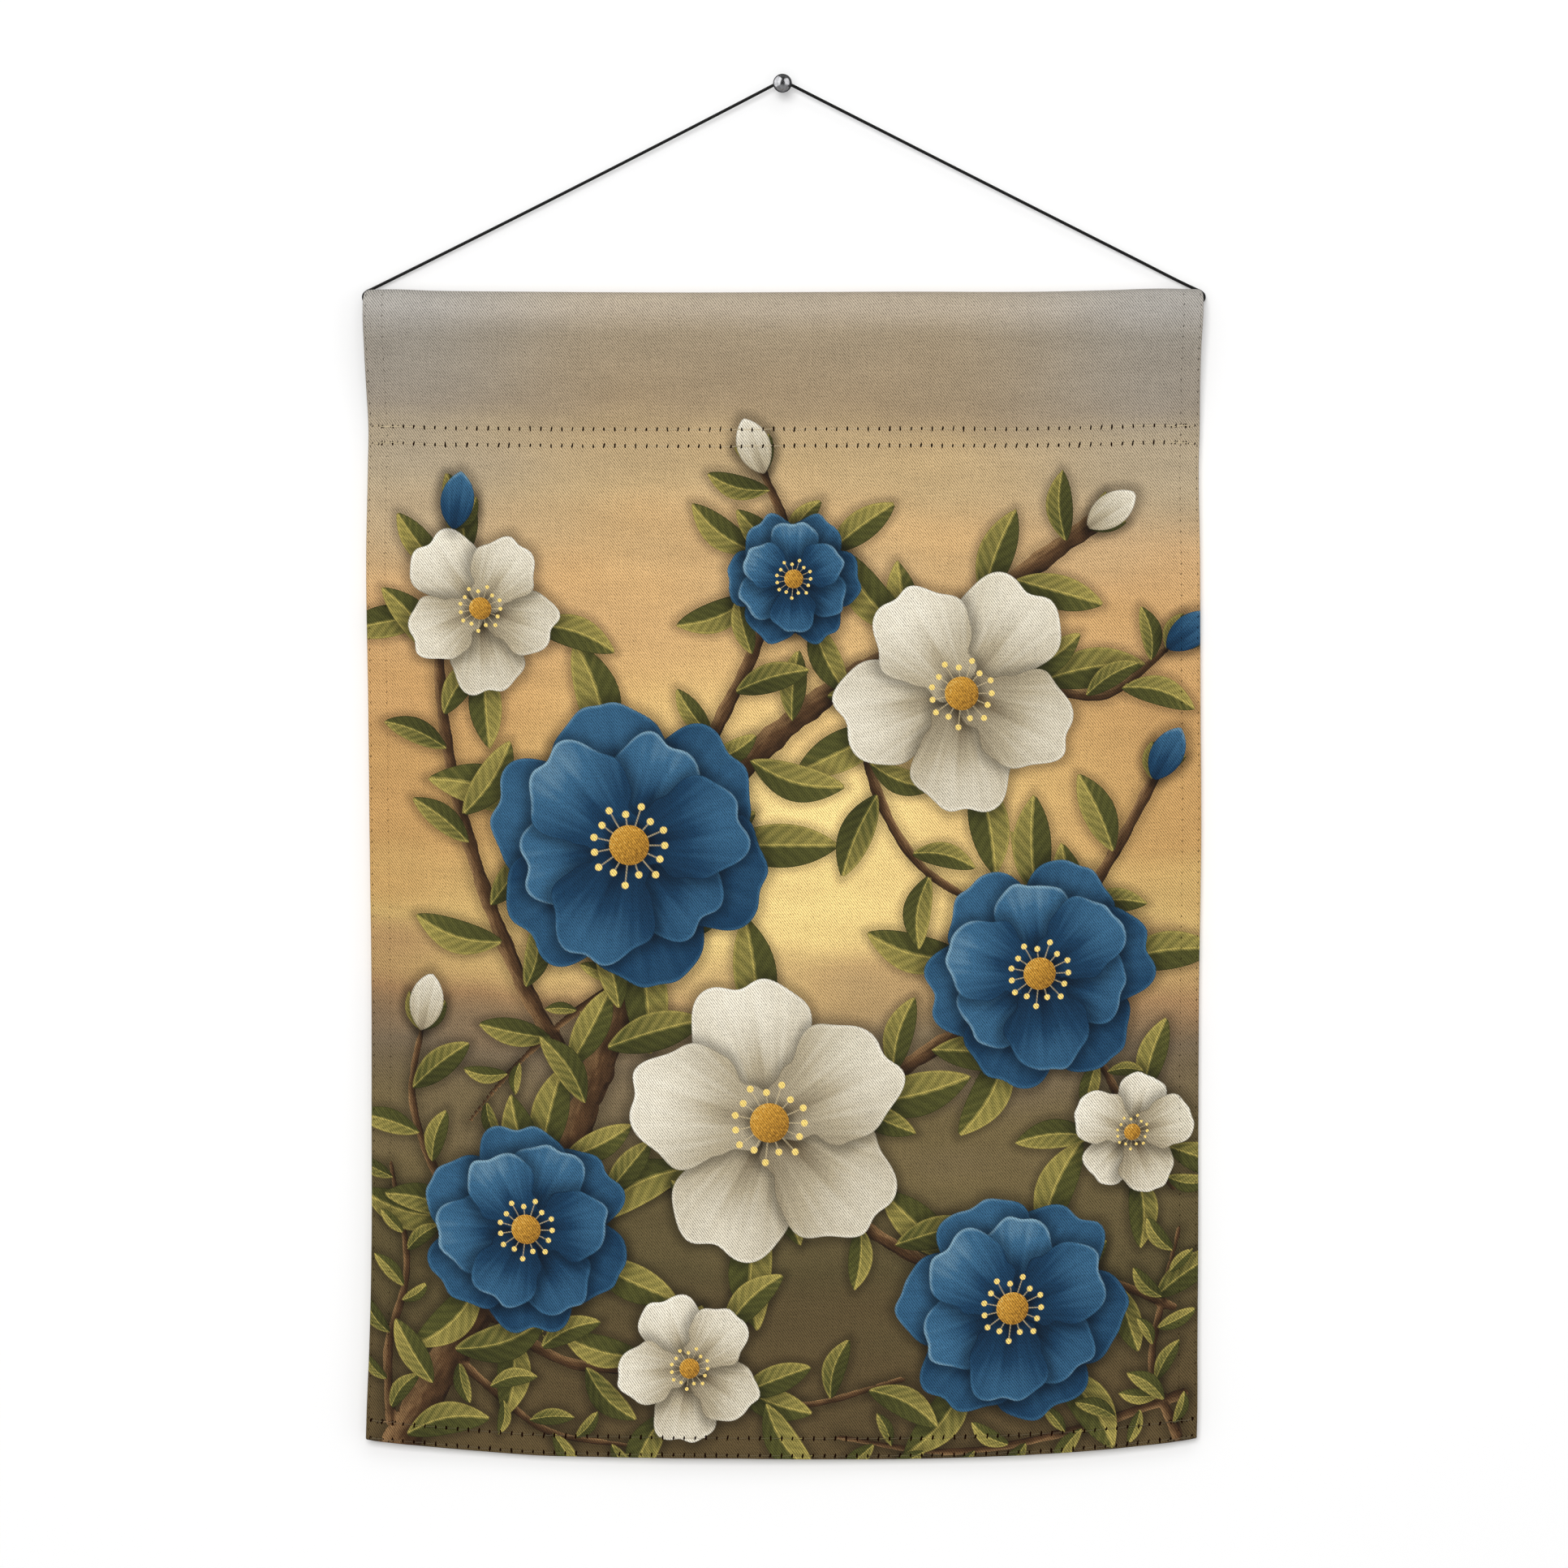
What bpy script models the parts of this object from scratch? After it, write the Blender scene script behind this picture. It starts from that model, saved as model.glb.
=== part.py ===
"""Garden flag on a hanging cord over a ball-headed wall pin, at its real size in metres, +Z up.

The origin is where the pin's shank meets the wall. +X runs to the viewer's right and +Y into the wall,
so the cloth hangs at negative Y, in front of the wall, and at negative Z, below the pin.

The flag is one cut of printed twill. Its top is turned over to the back and sewn down as a sleeve for a pole,
its sides and bottom are hemmed, and a cord runs through the sleeve, round both of its ends and over the pin.
"""

import math

import bpy
import numpy as np

# Wall pin
BALL_RADIUS = 0.0036
SHANK_RADIUS = 0.0006
SHANK_LENGTH = 0.0075
PIN_STEPS = 24
BALL_STEPS = 12
MERGE_DISTANCE = 0.00001

# Cloth
CLOTH = 0.0010
SIDE_HEM = 0.0078
BOTTOM_HEM = 0.0090
HEM_FOLD = 0.0024
HEM_THICKNESS = 0.0019
SLEEVE_HEM_THICKNESS = 0.0013
PIECE_GAP = 0.00035

# Sleeve: how far its sewn edge lies under the top fold, how far its back end stops short of its front end and
# where round the sleeve that begins, and how its corners are rounded at the fold
SLEEVE_DROP = 0.0615
BACK_END_INSET = 0.0013
BACK_START = 0.40
BACK_FADE = 0.12
FOLD_INSET_DROP = 0.0014
FOLD_INSET = 0.0022

# Hanging cord
CORD_RADIUS = 0.0005
CORD_STEP = 0.0125
CORD_TURN = math.radians(16)
CORD_READING = 0.0002

# Mesh density
PANEL_COLUMNS = 30
PANEL_ROWS = 36
SLEEVE_COLUMNS = 30
SLEEVE_RING = 27
SLEEVE_CROWDING = 1.6
FITTING_PASSES = 3

# The cloth's side edges: z, left x, right x
SIDE_EDGES = (
    (-0.0780, -0.1600, 0.1608),
    (-0.0845, -0.1605, 0.1609),
    (-0.1012, -0.1600, 0.1600),
    (-0.1136, -0.1594, 0.1596),
    (-0.1322, -0.1581, 0.1593),
    (-0.1446, -0.1584, 0.1590),
    (-0.1787, -0.1591, 0.1593),
    (-0.2345, -0.1584, 0.1596),
    (-0.2873, -0.1578, 0.1599),
    (-0.3430, -0.1572, 0.1592),
    (-0.3957, -0.1569, 0.1587),
    (-0.4453, -0.1572, 0.1587),
    (-0.4825, -0.1578, 0.1584),
    (-0.5100, -0.1589, 0.1582),
    (-0.5180, -0.1589, 0.1579),
    (-0.5270, -0.1580, 0.1570),
)

# The top fold: x, z
TOP_EDGE = (
    (-0.1600, -0.0786),
    (-0.1500, -0.0783),
    (-0.1340, -0.0788),
    (-0.1000, -0.0792),
    (-0.0450, -0.0795),
    (0.0450, -0.0792),
    (0.1050, -0.0791),
    (0.1250, -0.0786),
    (0.1440, -0.0780),
    (0.1600, -0.0783),
)

# The bottom hem's lower edge: x, z
BOTTOM_EDGE = (
    (-0.1591, -0.5170),
    (-0.1572, -0.5184),
    (-0.1480, -0.5206),
    (-0.1346, -0.5222),
    (-0.1160, -0.5238),
    (-0.0881, -0.5250),
    (-0.0416, -0.5259),
    (-0.0040, -0.5262),
    (0.0468, -0.5269),
    (0.0700, -0.5263),
    (0.0979, -0.5249),
    (0.1165, -0.5234),
    (0.1351, -0.5214),
    (0.1506, -0.5189),
    (0.1568, -0.5177),
    (0.1590, -0.5166),
)

# The sleeve's section, seen from its end: drop below the top fold, y of its front face, y of its back face
SLEEVE_SECTION = (
    (0.0000, -0.0060, -0.0060),
    (0.0007, -0.0080, -0.0040),
    (0.0024, -0.0094, -0.0029),
    (0.0056, -0.0104, -0.0023),
    (0.0110, -0.0108, -0.0021),
    (0.0200, -0.0105, -0.0021),
    (0.0310, -0.0094, -0.0024),
    (0.0420, -0.0078, -0.0031),
    (0.0515, -0.0066, -0.0041),
    (0.0570, -0.0063, -0.0040),
    (0.0615, -0.0062, -0.0039),
)

# The panel's own line from the sleeve down to the hem: z, y of its front face
PANEL_SECTION = (
    (-0.1380, -0.0062),
    (-0.1600, -0.0060),
    (-0.2000, -0.0055),
    (-0.2600, -0.0051),
    (-0.3300, -0.0052),
    (-0.4000, -0.0058),
    (-0.4600, -0.0066),
    (-0.5000, -0.0070),
    (-0.5270, -0.0066),
)

# Soft upright folds of the panel: x, half width, how far it stands forward at the hem, z where it starts
PANEL_FOLDS = (
    (-0.1600, 0.0320, 0.0014, -0.1500),
    (-0.0950, 0.0420, -0.0010, -0.2000),
    (-0.0300, 0.0460, 0.0012, -0.1700),
    (0.0420, 0.0400, -0.0008, -0.2300),
    (0.1010, 0.0360, 0.0009, -0.1900),
    (0.1600, 0.0300, -0.0006, -0.1600),
)

# The cord's way, from inside the sleeve's left end, over the pin, and back through the sleeve: x, y, z
CORD_ROUTE = (
    (-0.1280, -0.0060, -0.08090),
    (-0.1420, -0.0061, -0.08110),
    (-0.1510, -0.0061, -0.08220),
    (-0.1555, -0.0061, -0.08310),
    (-0.1581, -0.0060, -0.08327),
    (-0.1592, -0.0056, -0.08298),
    (-0.1600, -0.0049, -0.08217),
    (-0.1603, -0.0040, -0.08107),
    (-0.1600, -0.0033, -0.07997),
    (-0.15908, -0.0031, -0.07910),
    (-0.1571, -0.0031, -0.07812),
    (-0.1530, -0.0032, -0.07610),
    (-0.1355, -0.0036, -0.06744),
    (-0.0772, -0.0045, -0.03819),
    (-0.0189, -0.0051, -0.00827),
    (-0.0033, -0.0052, -0.00015),
    (-0.00065, -0.0052, 0.00124),
    (0.0000, -0.0052, 0.00150),
    (0.00065, -0.0052, 0.00124),
    (0.0033, -0.0052, -0.00010),
    (0.0189, -0.0051, -0.00801),
    (0.0797, -0.0045, -0.03877),
    (0.1360, -0.0036, -0.06714),
    (0.1545, -0.0032, -0.07645),
    (0.1580, -0.0030, -0.07813),
    (0.16006, -0.0030, -0.07909),
    (0.16101, -0.0032, -0.07999),
    (0.1613, -0.0040, -0.08113),
    (0.1610, -0.0049, -0.08226),
    (0.1601, -0.0056, -0.08309),
    (0.1590, -0.0060, -0.08336),
    (0.1564, -0.0061, -0.08320),
    (0.1515, -0.0061, -0.08220),
    (0.1420, -0.0061, -0.08085),
    (0.1250, -0.0060, -0.08080),
    (0.1050, -0.0060, -0.08120),
    (0.0450, -0.0060, -0.08130),
    (-0.0450, -0.0060, -0.08160),
    (-0.1000, -0.0060, -0.08130),
    (-0.12765, -0.0060, -0.08090),
)


def clear_scene():
    """Leaves the file empty, whatever it held."""
    for thing in list(bpy.data.objects):
        bpy.data.objects.remove(thing, do_unlink=True)


def columns(table):
    """A table's columns as arrays."""
    return np.array(table, float).T


def smooth_between(at, places, values):
    """Values at any place along a table's rows, on one smooth curve through all of them."""
    slopes = np.gradient(values, places)
    at = np.clip(at, min(places[0], places[-1]), max(places[0], places[-1]))
    if places[0] > places[-1]:
        places, values, slopes = places[::-1], values[::-1], slopes[::-1]
    row = np.clip(np.searchsorted(places, at) - 1, 0, len(places) - 2)
    span = places[row + 1] - places[row]
    t = (at - places[row]) / span
    before = values[row] * (1 + 2 * t) * (1 - t) ** 2 + slopes[row] * span * t * (1 - t) ** 2
    after = values[row + 1] * t**2 * (3 - 2 * t) + slopes[row + 1] * span * t**2 * (t - 1)
    return before + after


def along(points):
    """Distance of each point from the first, measured along them."""
    steps = np.linalg.norm(np.diff(points, axis=0), axis=1)
    return np.concatenate([[0.0], np.cumsum(steps)])


def smooth_line(points, places):
    """The smooth curve through points, read at distances measured along them."""
    points = np.array(points, float)
    marks = along(points)
    return np.stack([smooth_between(places, marks, points[:, axis]) for axis in range(3)], axis=1)


def smooth_step(share):
    """0 up to share 0, 1 from share 1 on, and a soft S between."""
    share = np.clip(share, 0, 1)
    return share * share * (3 - 2 * share)


def material(name, colour, roughness, metallic=0.0):
    finish = bpy.data.materials.new(name)
    finish.use_nodes = True
    shader = finish.node_tree.nodes["Principled BSDF"]
    shader.inputs["Base Color"].default_value = (*colour, 1)
    shader.inputs["Roughness"].default_value = roughness
    shader.inputs["Metallic"].default_value = metallic
    return finish


def finish_piece(piece, name, finish, collection):
    """Names the piece, gives it its material and puts it in the flag's collection."""
    piece.name = name
    piece.data.name = name
    piece.data.materials.clear()
    piece.data.materials.append(finish)
    for other in list(piece.users_collection):
        other.objects.unlink(piece)
    collection.objects.link(piece)


def cloth_grid(columns_wanted, rows_wanted):
    """A flat grid of cloth facing -Y, with each vertex's share from left to right and from top to bottom."""
    bpy.ops.mesh.primitive_grid_add(x_subdivisions=columns_wanted, y_subdivisions=rows_wanted, size=1)
    piece = bpy.context.object
    spots = np.empty(len(piece.data.vertices) * 3)
    piece.data.vertices.foreach_get("co", spots)
    spots = spots.reshape(-1, 3)
    return piece, spots[:, 0] + 0.5, 0.5 - spots[:, 1]


def thicken(piece, thickness, hem_thickness, hem_weight):
    """Gives an open cloth its thickness on its back, up to the hem's where the weight is 1."""
    group = piece.vertex_groups.new(name="hem")
    for index, weight in enumerate(hem_weight):
        group.add([index], float(weight), "REPLACE")
    solidify = piece.modifiers.new("cloth thickness", "SOLIDIFY")
    solidify.thickness = hem_thickness
    solidify.offset = -1
    solidify.vertex_group = group.name
    solidify.thickness_vertex_group = thickness / hem_thickness


def place_vertices(piece, spots):
    piece.data.vertices.foreach_set("co", spots.astype(np.float32).ravel())
    piece.data.update()


def spread(share, width, steps):
    """Spaces a grid's lines evenly between two sides, but for a line on each hem's edge and one past its fold."""
    hem = SIDE_HEM / width
    fold = (SIDE_HEM + HEM_FOLD) / width
    lines = np.array([0.0, 1.0, 2.0, steps - 2.0, steps - 1.0, steps]) / steps
    places = np.array([0.0, hem, fold, 1 - fold, 1 - hem, 1.0])
    return np.interp(share, lines, places)


def side_edges(z):
    """x of the cloth's left and right edges at height z."""
    heights, left, right = columns(SIDE_EDGES)
    return smooth_between(z, heights, left), smooth_between(z, heights, right)


def top_edge(x):
    places, heights = columns(TOP_EDGE)
    return smooth_between(x, places, heights)


def bottom_edge(x):
    places, heights = columns(BOTTOM_EDGE)
    return smooth_between(x, places, heights)


def panel_front(x, z):
    """y of the panel's front face: its own slow line, and the folds that grow from their start to the hem."""
    heights, fronts = columns(PANEL_SECTION)
    y = smooth_between(z, heights, fronts)
    lowest = PANEL_SECTION[-1][0]
    for middle, half_width, forward, start in PANEL_FOLDS:
        growth = smooth_step((start - z) / (start - lowest))
        y = y - forward * growth * np.exp(-(((x - middle) / half_width) ** 2))
    return y


def build_panel(collection, finish):
    """The cloth from the sleeve's sewn edge to the bottom hem."""
    piece, across, down = cloth_grid(PANEL_COLUMNS, PANEL_ROWS)
    rough_width = SIDE_EDGES[0][2] - SIDE_EDGES[0][1]
    across = spread(across, rough_width, PANEL_COLUMNS)
    rough_height = TOP_EDGE[0][1] - SLEEVE_DROP - BOTTOM_EDGE[0][1]
    hem = BOTTOM_HEM / rough_height
    fold = (BOTTOM_HEM + HEM_FOLD) / rough_height
    last_rows = np.array([0.0, PANEL_ROWS - 2.0, PANEL_ROWS - 1.0, PANEL_ROWS]) / PANEL_ROWS
    down = np.interp(down, last_rows, [0.0, 1 - fold, 1 - hem, 1.0])

    x = (across - 0.5) * rough_width
    for _ in range(FITTING_PASSES):
        top = top_edge(x) - SLEEVE_DROP - PIECE_GAP
        z = top + (bottom_edge(x) - top) * down
        left, right = side_edges(z)
        x = left + (right - left) * across
    place_vertices(piece, np.stack([x, panel_front(x, z), z], axis=1))

    from_side = np.minimum(x - left, right - x)
    from_bottom = z - bottom_edge(x)
    half_fold = HEM_FOLD / 2
    hem_weight = np.maximum(from_side <= SIDE_HEM + half_fold, from_bottom <= BOTTOM_HEM + half_fold)
    thicken(piece, CLOTH, HEM_THICKNESS, hem_weight)
    finish_piece(piece, "flag_panel", finish, collection)


def sleeve_ring(share):
    """y and drop below the fold of the sleeve's outer face, from its front edge at share 0 over the fold to its back."""
    drop, front, back = columns(SLEEVE_SECTION)
    guide = np.stack(
        [
            np.concatenate([front[::-1], back[1:]]),
            np.concatenate([drop[::-1], drop[1:]]),
            np.zeros(2 * len(drop) - 1),
        ],
        axis=1,
    )
    whole = along(guide)[-1]
    # Lines stand closer together at the fold, half way round.
    side = 2 * share - 1
    place = whole / 2 * (1 + np.sign(side) * np.abs(side) ** SLEEVE_CROWDING)
    ring = smooth_line(guide, place)
    return ring[:, 0], ring[:, 1]


def sleeve_ends(share, drop, z):
    """x of the sleeve's two ends: the back stops short of the front, and the fold's corners are rounded."""
    left, right = side_edges(z)
    inset = BACK_END_INSET * smooth_step((share - BACK_START) / BACK_FADE)
    inset = np.maximum(inset, FOLD_INSET * np.exp(-drop / FOLD_INSET_DROP))
    return left + inset, right - inset


def build_sleeve(collection, finish):
    """The heading: a teardrop tube whose front and back lie together where they are sewn."""
    piece, around, across = cloth_grid(SLEEVE_RING - 1, SLEEVE_COLUMNS)
    rough_width = SIDE_EDGES[0][2] - SIDE_EDGES[0][1]
    across = spread(across, rough_width, SLEEVE_COLUMNS)
    y, drop = sleeve_ring(around)
    x = (across - 0.5) * rough_width
    for _ in range(FITTING_PASSES):
        z = top_edge(x) - drop
        left, right = sleeve_ends(around, drop, z)
        x = left + (right - left) * across
    place_vertices(piece, np.stack([x, y, z], axis=1))
    close_ring(piece)

    hem_weight = np.minimum(x - left, right - x) <= SIDE_HEM + HEM_FOLD / 2
    thicken(piece, CLOTH, SLEEVE_HEM_THICKNESS, hem_weight)
    finish_piece(piece, "pole_sleeve", finish, collection)


def close_ring(piece):
    """Joins the front edge and the back edge of the sleeve's grid along the sewn line, with faces turned out."""
    mesh = piece.data
    spots = np.empty(len(mesh.vertices) * 3)
    mesh.vertices.foreach_get("co", spots)
    rows = SLEEVE_COLUMNS + 1
    per_row = len(mesh.vertices) // rows
    faces = [tuple(face.vertices) for face in mesh.polygons]
    for row in range(rows - 1):
        front, back = row * per_row, row * per_row + per_row - 1
        faces.append((back, front, front + per_row, back + per_row))
    mesh.clear_geometry()
    mesh.from_pydata(spots.reshape(-1, 3).tolist(), [], faces)
    mesh.update()


def cord_places(route):
    """Where the cord's route is read: often where it turns, seldom where it is nearly straight."""
    marks = along(route)
    fine = np.arange(0, marks[-1], CORD_READING)
    line = smooth_line(route, fine)
    heading = np.diff(line, axis=0)
    heading /= np.linalg.norm(heading, axis=1)[:, None]
    turn = np.arccos(np.clip((heading[1:] * heading[:-1]).sum(axis=1), -1, 1))
    effort = np.concatenate([[0.0, 0.0], np.cumsum(turn)]) / CORD_TURN + fine / CORD_STEP
    wanted = np.linspace(0, effort[-1], math.ceil(effort[-1]) + 1)
    places = np.interp(wanted, effort, fine)
    places[-1] = marks[-1]
    return places


def build_cord(collection, finish):
    """The hanging cord, one tube whose two ends meet inside the sleeve."""
    route = np.array(CORD_ROUTE)
    line = smooth_line(route, cord_places(route))
    curve = bpy.data.curves.new("hanging_cord", "CURVE")
    curve.dimensions = "3D"
    curve.bevel_depth = CORD_RADIUS
    curve.bevel_resolution = 2
    curve.use_fill_caps = True
    spline = curve.splines.new("POLY")
    spline.points.add(len(line) - 1)
    spline.points.foreach_set("co", np.column_stack([line, np.ones(len(line))]).ravel())
    piece = bpy.data.objects.new("hanging_cord", curve)
    collection.objects.link(piece)
    finish_piece(piece, "hanging_cord", finish, collection)


def build_pin(collection, finish):
    """The wall pin, turned about its own axis: a straight shank with a flat end, and a ball."""
    neck = math.asin(SHANK_RADIUS / BALL_RADIUS)
    ball_centre = SHANK_LENGTH + BALL_RADIUS * math.cos(neck)
    profile = [(0.0, ball_centre + BALL_RADIUS)]
    for step in range(1, BALL_STEPS + 1):
        angle = (math.pi - neck) * step / BALL_STEPS
        profile.append((BALL_RADIUS * math.sin(angle), ball_centre + BALL_RADIUS * math.cos(angle)))
    profile += [(SHANK_RADIUS, 0.0), (0.0, 0.0)]

    mesh = bpy.data.meshes.new("wall_pin")
    mesh.from_pydata([(radius, 0, height) for radius, height in profile], [], [])
    mesh.edges.add(len(profile) - 1)
    for index, edge in enumerate(mesh.edges):
        edge.vertices = (index, index + 1)
    piece = bpy.data.objects.new("wall_pin", mesh)
    collection.objects.link(piece)
    turn = piece.modifiers.new("turned", "SCREW")
    turn.axis = "Z"
    turn.steps = PIN_STEPS
    turn.render_steps = PIN_STEPS
    turn.use_merge_vertices = True
    turn.merge_threshold = MERGE_DISTANCE
    turn.use_smooth_shade = True
    # The profile's height becomes the distance in front of the wall.
    piece.rotation_euler = (math.radians(90), 0, 0)
    finish_piece(piece, "wall_pin", finish, collection)


def main():
    clear_scene()
    flag = bpy.data.collections.new("garden flag")
    bpy.context.scene.collection.children.link(flag)
    cloth = material("printed twill", (0.62, 0.47, 0.28), 0.85)
    black_cord = material("black cord", (0.02, 0.02, 0.02), 0.7)
    steel = material("polished dark steel", (0.42, 0.42, 0.43), 0.15, 1.0)
    build_panel(flag, cloth)
    build_sleeve(flag, cloth)
    build_cord(flag, black_cord)
    build_pin(flag, steel)


main()
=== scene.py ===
"""Looks of a garden flag: printed twill with a sewn sleeve and hems, its hanging cord and its wall pin.

Lengths are in metres in the part's own frame. The flat cloth is measured by x, across it, and by run, down
it from the top fold: runs below 0 go down the sleeve's back. The print is laid out in millimetres.
"""

import math

import bpy
import numpy as np
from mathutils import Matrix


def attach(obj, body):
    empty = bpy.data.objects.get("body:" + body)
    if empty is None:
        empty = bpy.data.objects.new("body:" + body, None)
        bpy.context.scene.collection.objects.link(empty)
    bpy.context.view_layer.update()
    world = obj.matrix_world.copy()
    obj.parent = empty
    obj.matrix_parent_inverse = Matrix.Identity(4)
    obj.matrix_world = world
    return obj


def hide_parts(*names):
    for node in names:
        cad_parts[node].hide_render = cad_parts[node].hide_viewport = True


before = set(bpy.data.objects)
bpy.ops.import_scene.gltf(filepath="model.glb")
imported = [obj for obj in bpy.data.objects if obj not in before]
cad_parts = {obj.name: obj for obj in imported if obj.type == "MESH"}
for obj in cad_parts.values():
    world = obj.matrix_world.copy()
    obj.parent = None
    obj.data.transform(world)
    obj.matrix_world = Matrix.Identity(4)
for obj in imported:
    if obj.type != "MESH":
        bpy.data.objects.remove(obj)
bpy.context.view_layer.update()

MM = 0.001
TURN = 2 * math.pi

# The weave's ribs, in millimetres and degrees below level
TWILL_PITCH = 0.80
TWILL_SLOPE = 53.5

# Camera: straight at the flag through a long lens. The photograph is 1932 pixels wide at 0.31 mm a pixel.
PIXEL = 0.00031
PHOTO = 1932
BALL_PIXEL = (964.1, 103.4)
CAMERA_DISTANCE = 3.0
FLAG_PLANE = -0.008

# Lights: name, direction from the flag, distance, width and height, share of white
MIDDLE = (0.0, 0.0, -0.27)
LIGHTS = (
    ("key", (-0.10, -1.0, 0.21), 4.0, (1.4, 1.4), 0.43),
    ("fill", (0.0, -1.0, -0.14), 4.0, (3.0, 2.4), 0.165),
    ("top", (0.10, -1.0, 0.9), 3.6, (2.4, 1.6), 0.075),
    ("right", (1.0, -0.9, 0.0), 3.6, (1.6, 2.4), 0.03),
    ("rear", (0.25, 1.0, 0.5), 3.0, (2.0, 2.0), 0.55),
)
SKY_LIGHT = 0.40
SKY_REFLECTED = 0.07

# White boards that only polished metal shows: name, direction from the ball, distance, width and height, glow
BOARDS = (
    ("board left", (-0.87, -0.25, 0.30), 1.5, (3.4, 3.6), 2.1),
    ("board right", (0.84, -0.45, 0.28), 1.5, (1.9, 2.0), 1.75),
    ("board below", (0.0, -0.25, -0.95), 1.2, (5.0, 3.4), 0.48),
    ("board above", (0.3, 0.35, 0.90), 1.6, (2.4, 2.0), 0.16),
)
WALL_REACH = 3.0
WALL_PLACE = 0.0004
SQUARE = np.array([(-1.0, -1.0), (1.0, -1.0), (1.0, 1.0), (-1.0, 1.0)])

# Wall pin
BALL_RADIUS = 0.0036
SHANK_RADIUS = 0.0006
SHANK_LENGTH = 0.0075
NECK_LENGTH = 0.0004
PIN_STEPS = 72
BALL_STEPS = 48
POLE_RADIUS = 0.00001
POLE_ANGLE = 0.02

# Cord
CORD_RADIUS = 0.00060
CORD_SIDES = 12
CORD_STEP = 0.0006

# Cloth
CLOTH_WIDTH = 0.3190
EDGE = CLOTH_WIDTH / 2
SIDE_STRIP = 0.0078
BOTTOM_STRIP = 0.0090
HEM_TURN = 0.0010
CORNER_TURN = 0.0022
RAW_EDGE = 0.0009
REVERSE_DEPTH = 0.00035
TUCK_GAP = 0.0001
REVERSE_BORDER = 0.004
SLEEVE_DROP = 0.0615
SEAM_PINCH = 0.0009
HEM_RAISE = 0.00022
SEAM_TROUGH = 0.00013
SEAM_REACH = 0.0009
SIDE_TROUGH = 0.6
TROUGH_UNEVEN = 0.45
UNEVEN_SCALE = 0.013
# Where the hems' raised bands fade out, by the distance in from the side edge and up from the bottom
SIDE_FADE = (0.0072, 0.0090)
BOTTOM_FADE = (0.0098, 0.0080)
BACK_END_INSET = 0.0013
FOLD_INSET_DROP = 0.0006
FOLD_INSET = 0.0014
PANEL_RUN = 0.3846
FITTING_PASSES = 3
# The drops between which the sleeve's back comes to its seam, and the cloth's own unevenness: depth, scale,
# how it is stretched down, seed
SEWN_DROPS = (0.040, 0.052)
RIPPLES = ((0.00022, 0.090, 1.0, 6), (0.00007, 0.024, 0.6, 2))
NORMAL_STEP = 0.0002
# A half circle's path is longer than its reach by this many radii on each side of its middle.
TURN_SLACK = math.pi / 2 - 1

# The cloth's grid: its step, and how far round a fold, a raw edge or a seam the lines stand how close
COARSE = 0.00152
REVERSE_COARSE = 0.0026
REVERSE_COLUMNS = 121
FINE_PLACES = 20001
TOP_LINES = (0.006, 0.0009)
HEM_LINES = (0.0010, 0.00026)
RAW_LINES = (0.0006, 0.0004)
SIDE_LINES = (0.0010, 0.0006)
SEAM_LINES = (0.0014, 0.0005)
RAW_INSET = 0.0005
MAP_MARGIN = 0.001

# Stitches. Rows are given by their distance from the fold or the edge, and holes by their width and height.
SLEEVE_ROWS = (0.0524, 0.0588)
SLEEVE_PITCH = 0.00406
SLEEVE_END = 0.0012
HEM_PITCH = 0.00415
BOTTOM_ROWS = (0.0013, 0.0079)
BOTTOM_END = 0.0014
SIDE_ROWS = (0.0009, 0.0072)
SLEEVE_LIGHTNESS = 0.55
BOTTOM_LIGHTNESS = 0.08
THREAD_RADIUS = 0.00017
SUNK_RADIUS = 0.00003
THREAD_DIP = 2.0
THREAD_RISE = 2.75
THREAD_SHARE = (0.03, 0.97)
THREAD_STEPS = 7
THREAD_SIDES = 5
THREAD_SLANT = 0.00012
SIDE_ENDS = (0.002, 0.0015)
# How unevenly they are sewn, and the least and the most of a hole's width and height
PLACE_SPREAD = 0.00008
LEVEL_SPREAD = 0.00006
HOLE_SIZES = ((0.85, 0.72), (1.15, 1.22))
# The short stitches over a row's ends: how many, their pitch in stitches, where they lie, their holes
TACKS = 5
TACK_PITCH = 0.54
TACK_START = 0.0006
TACK_SPREAD = 0.0002
TACK_OFFSETS = (0.0002, 0.0005)
TACK_HOLE_SIZES = ((0.6, 0.3), (0.9, 0.6))
HOLE_LIFT = 0.00007
HOLE_CORNERS = 10
HOLE_UNEVEN = 0.16
HOLE_LEAN = (-0.22, 0.10)
SLEEVE_HOLE = (0.00066, 0.00190)
BOTTOM_HOLE = (0.00074, 0.00195)
# Side rows: distance from the edge, side, hole, and how far it takes the print's colour
SIDE_SEAMS = (
    (SIDE_ROWS[0], -1, (0.00040, 0.00092), 0.50),
    (SIDE_ROWS[0], 1, (0.00040, 0.00092), 0.50),
    (SIDE_ROWS[1], -1, (0.00036, 0.00076), 0.68),
    (SIDE_ROWS[1], 1, (0.00040, 0.00082), 0.42),
)

# The cloth's side edges: z, left x, right x
SIDE_EDGES = (
    (-0.078, -0.1598, 0.1606), (-0.0845, -0.1602, 0.1607), (-0.1012, -0.1597, 0.1598),
    (-0.1136, -0.1591, 0.1595), (-0.1322, -0.1582, 0.1594), (-0.1446, -0.1584, 0.1591),
    (-0.1787, -0.1591, 0.1596), (-0.2345, -0.1584, 0.1598), (-0.2873, -0.1578, 0.1601),
    (-0.343, -0.1571, 0.1593), (-0.3957, -0.157, 0.159), (-0.4453, -0.157, 0.1589),
    (-0.4825, -0.1578, 0.1586), (-0.51, -0.1589, 0.1585), (-0.518, -0.1591, 0.1583),
    (-0.527, -0.1588, 0.1577),
)

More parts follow.
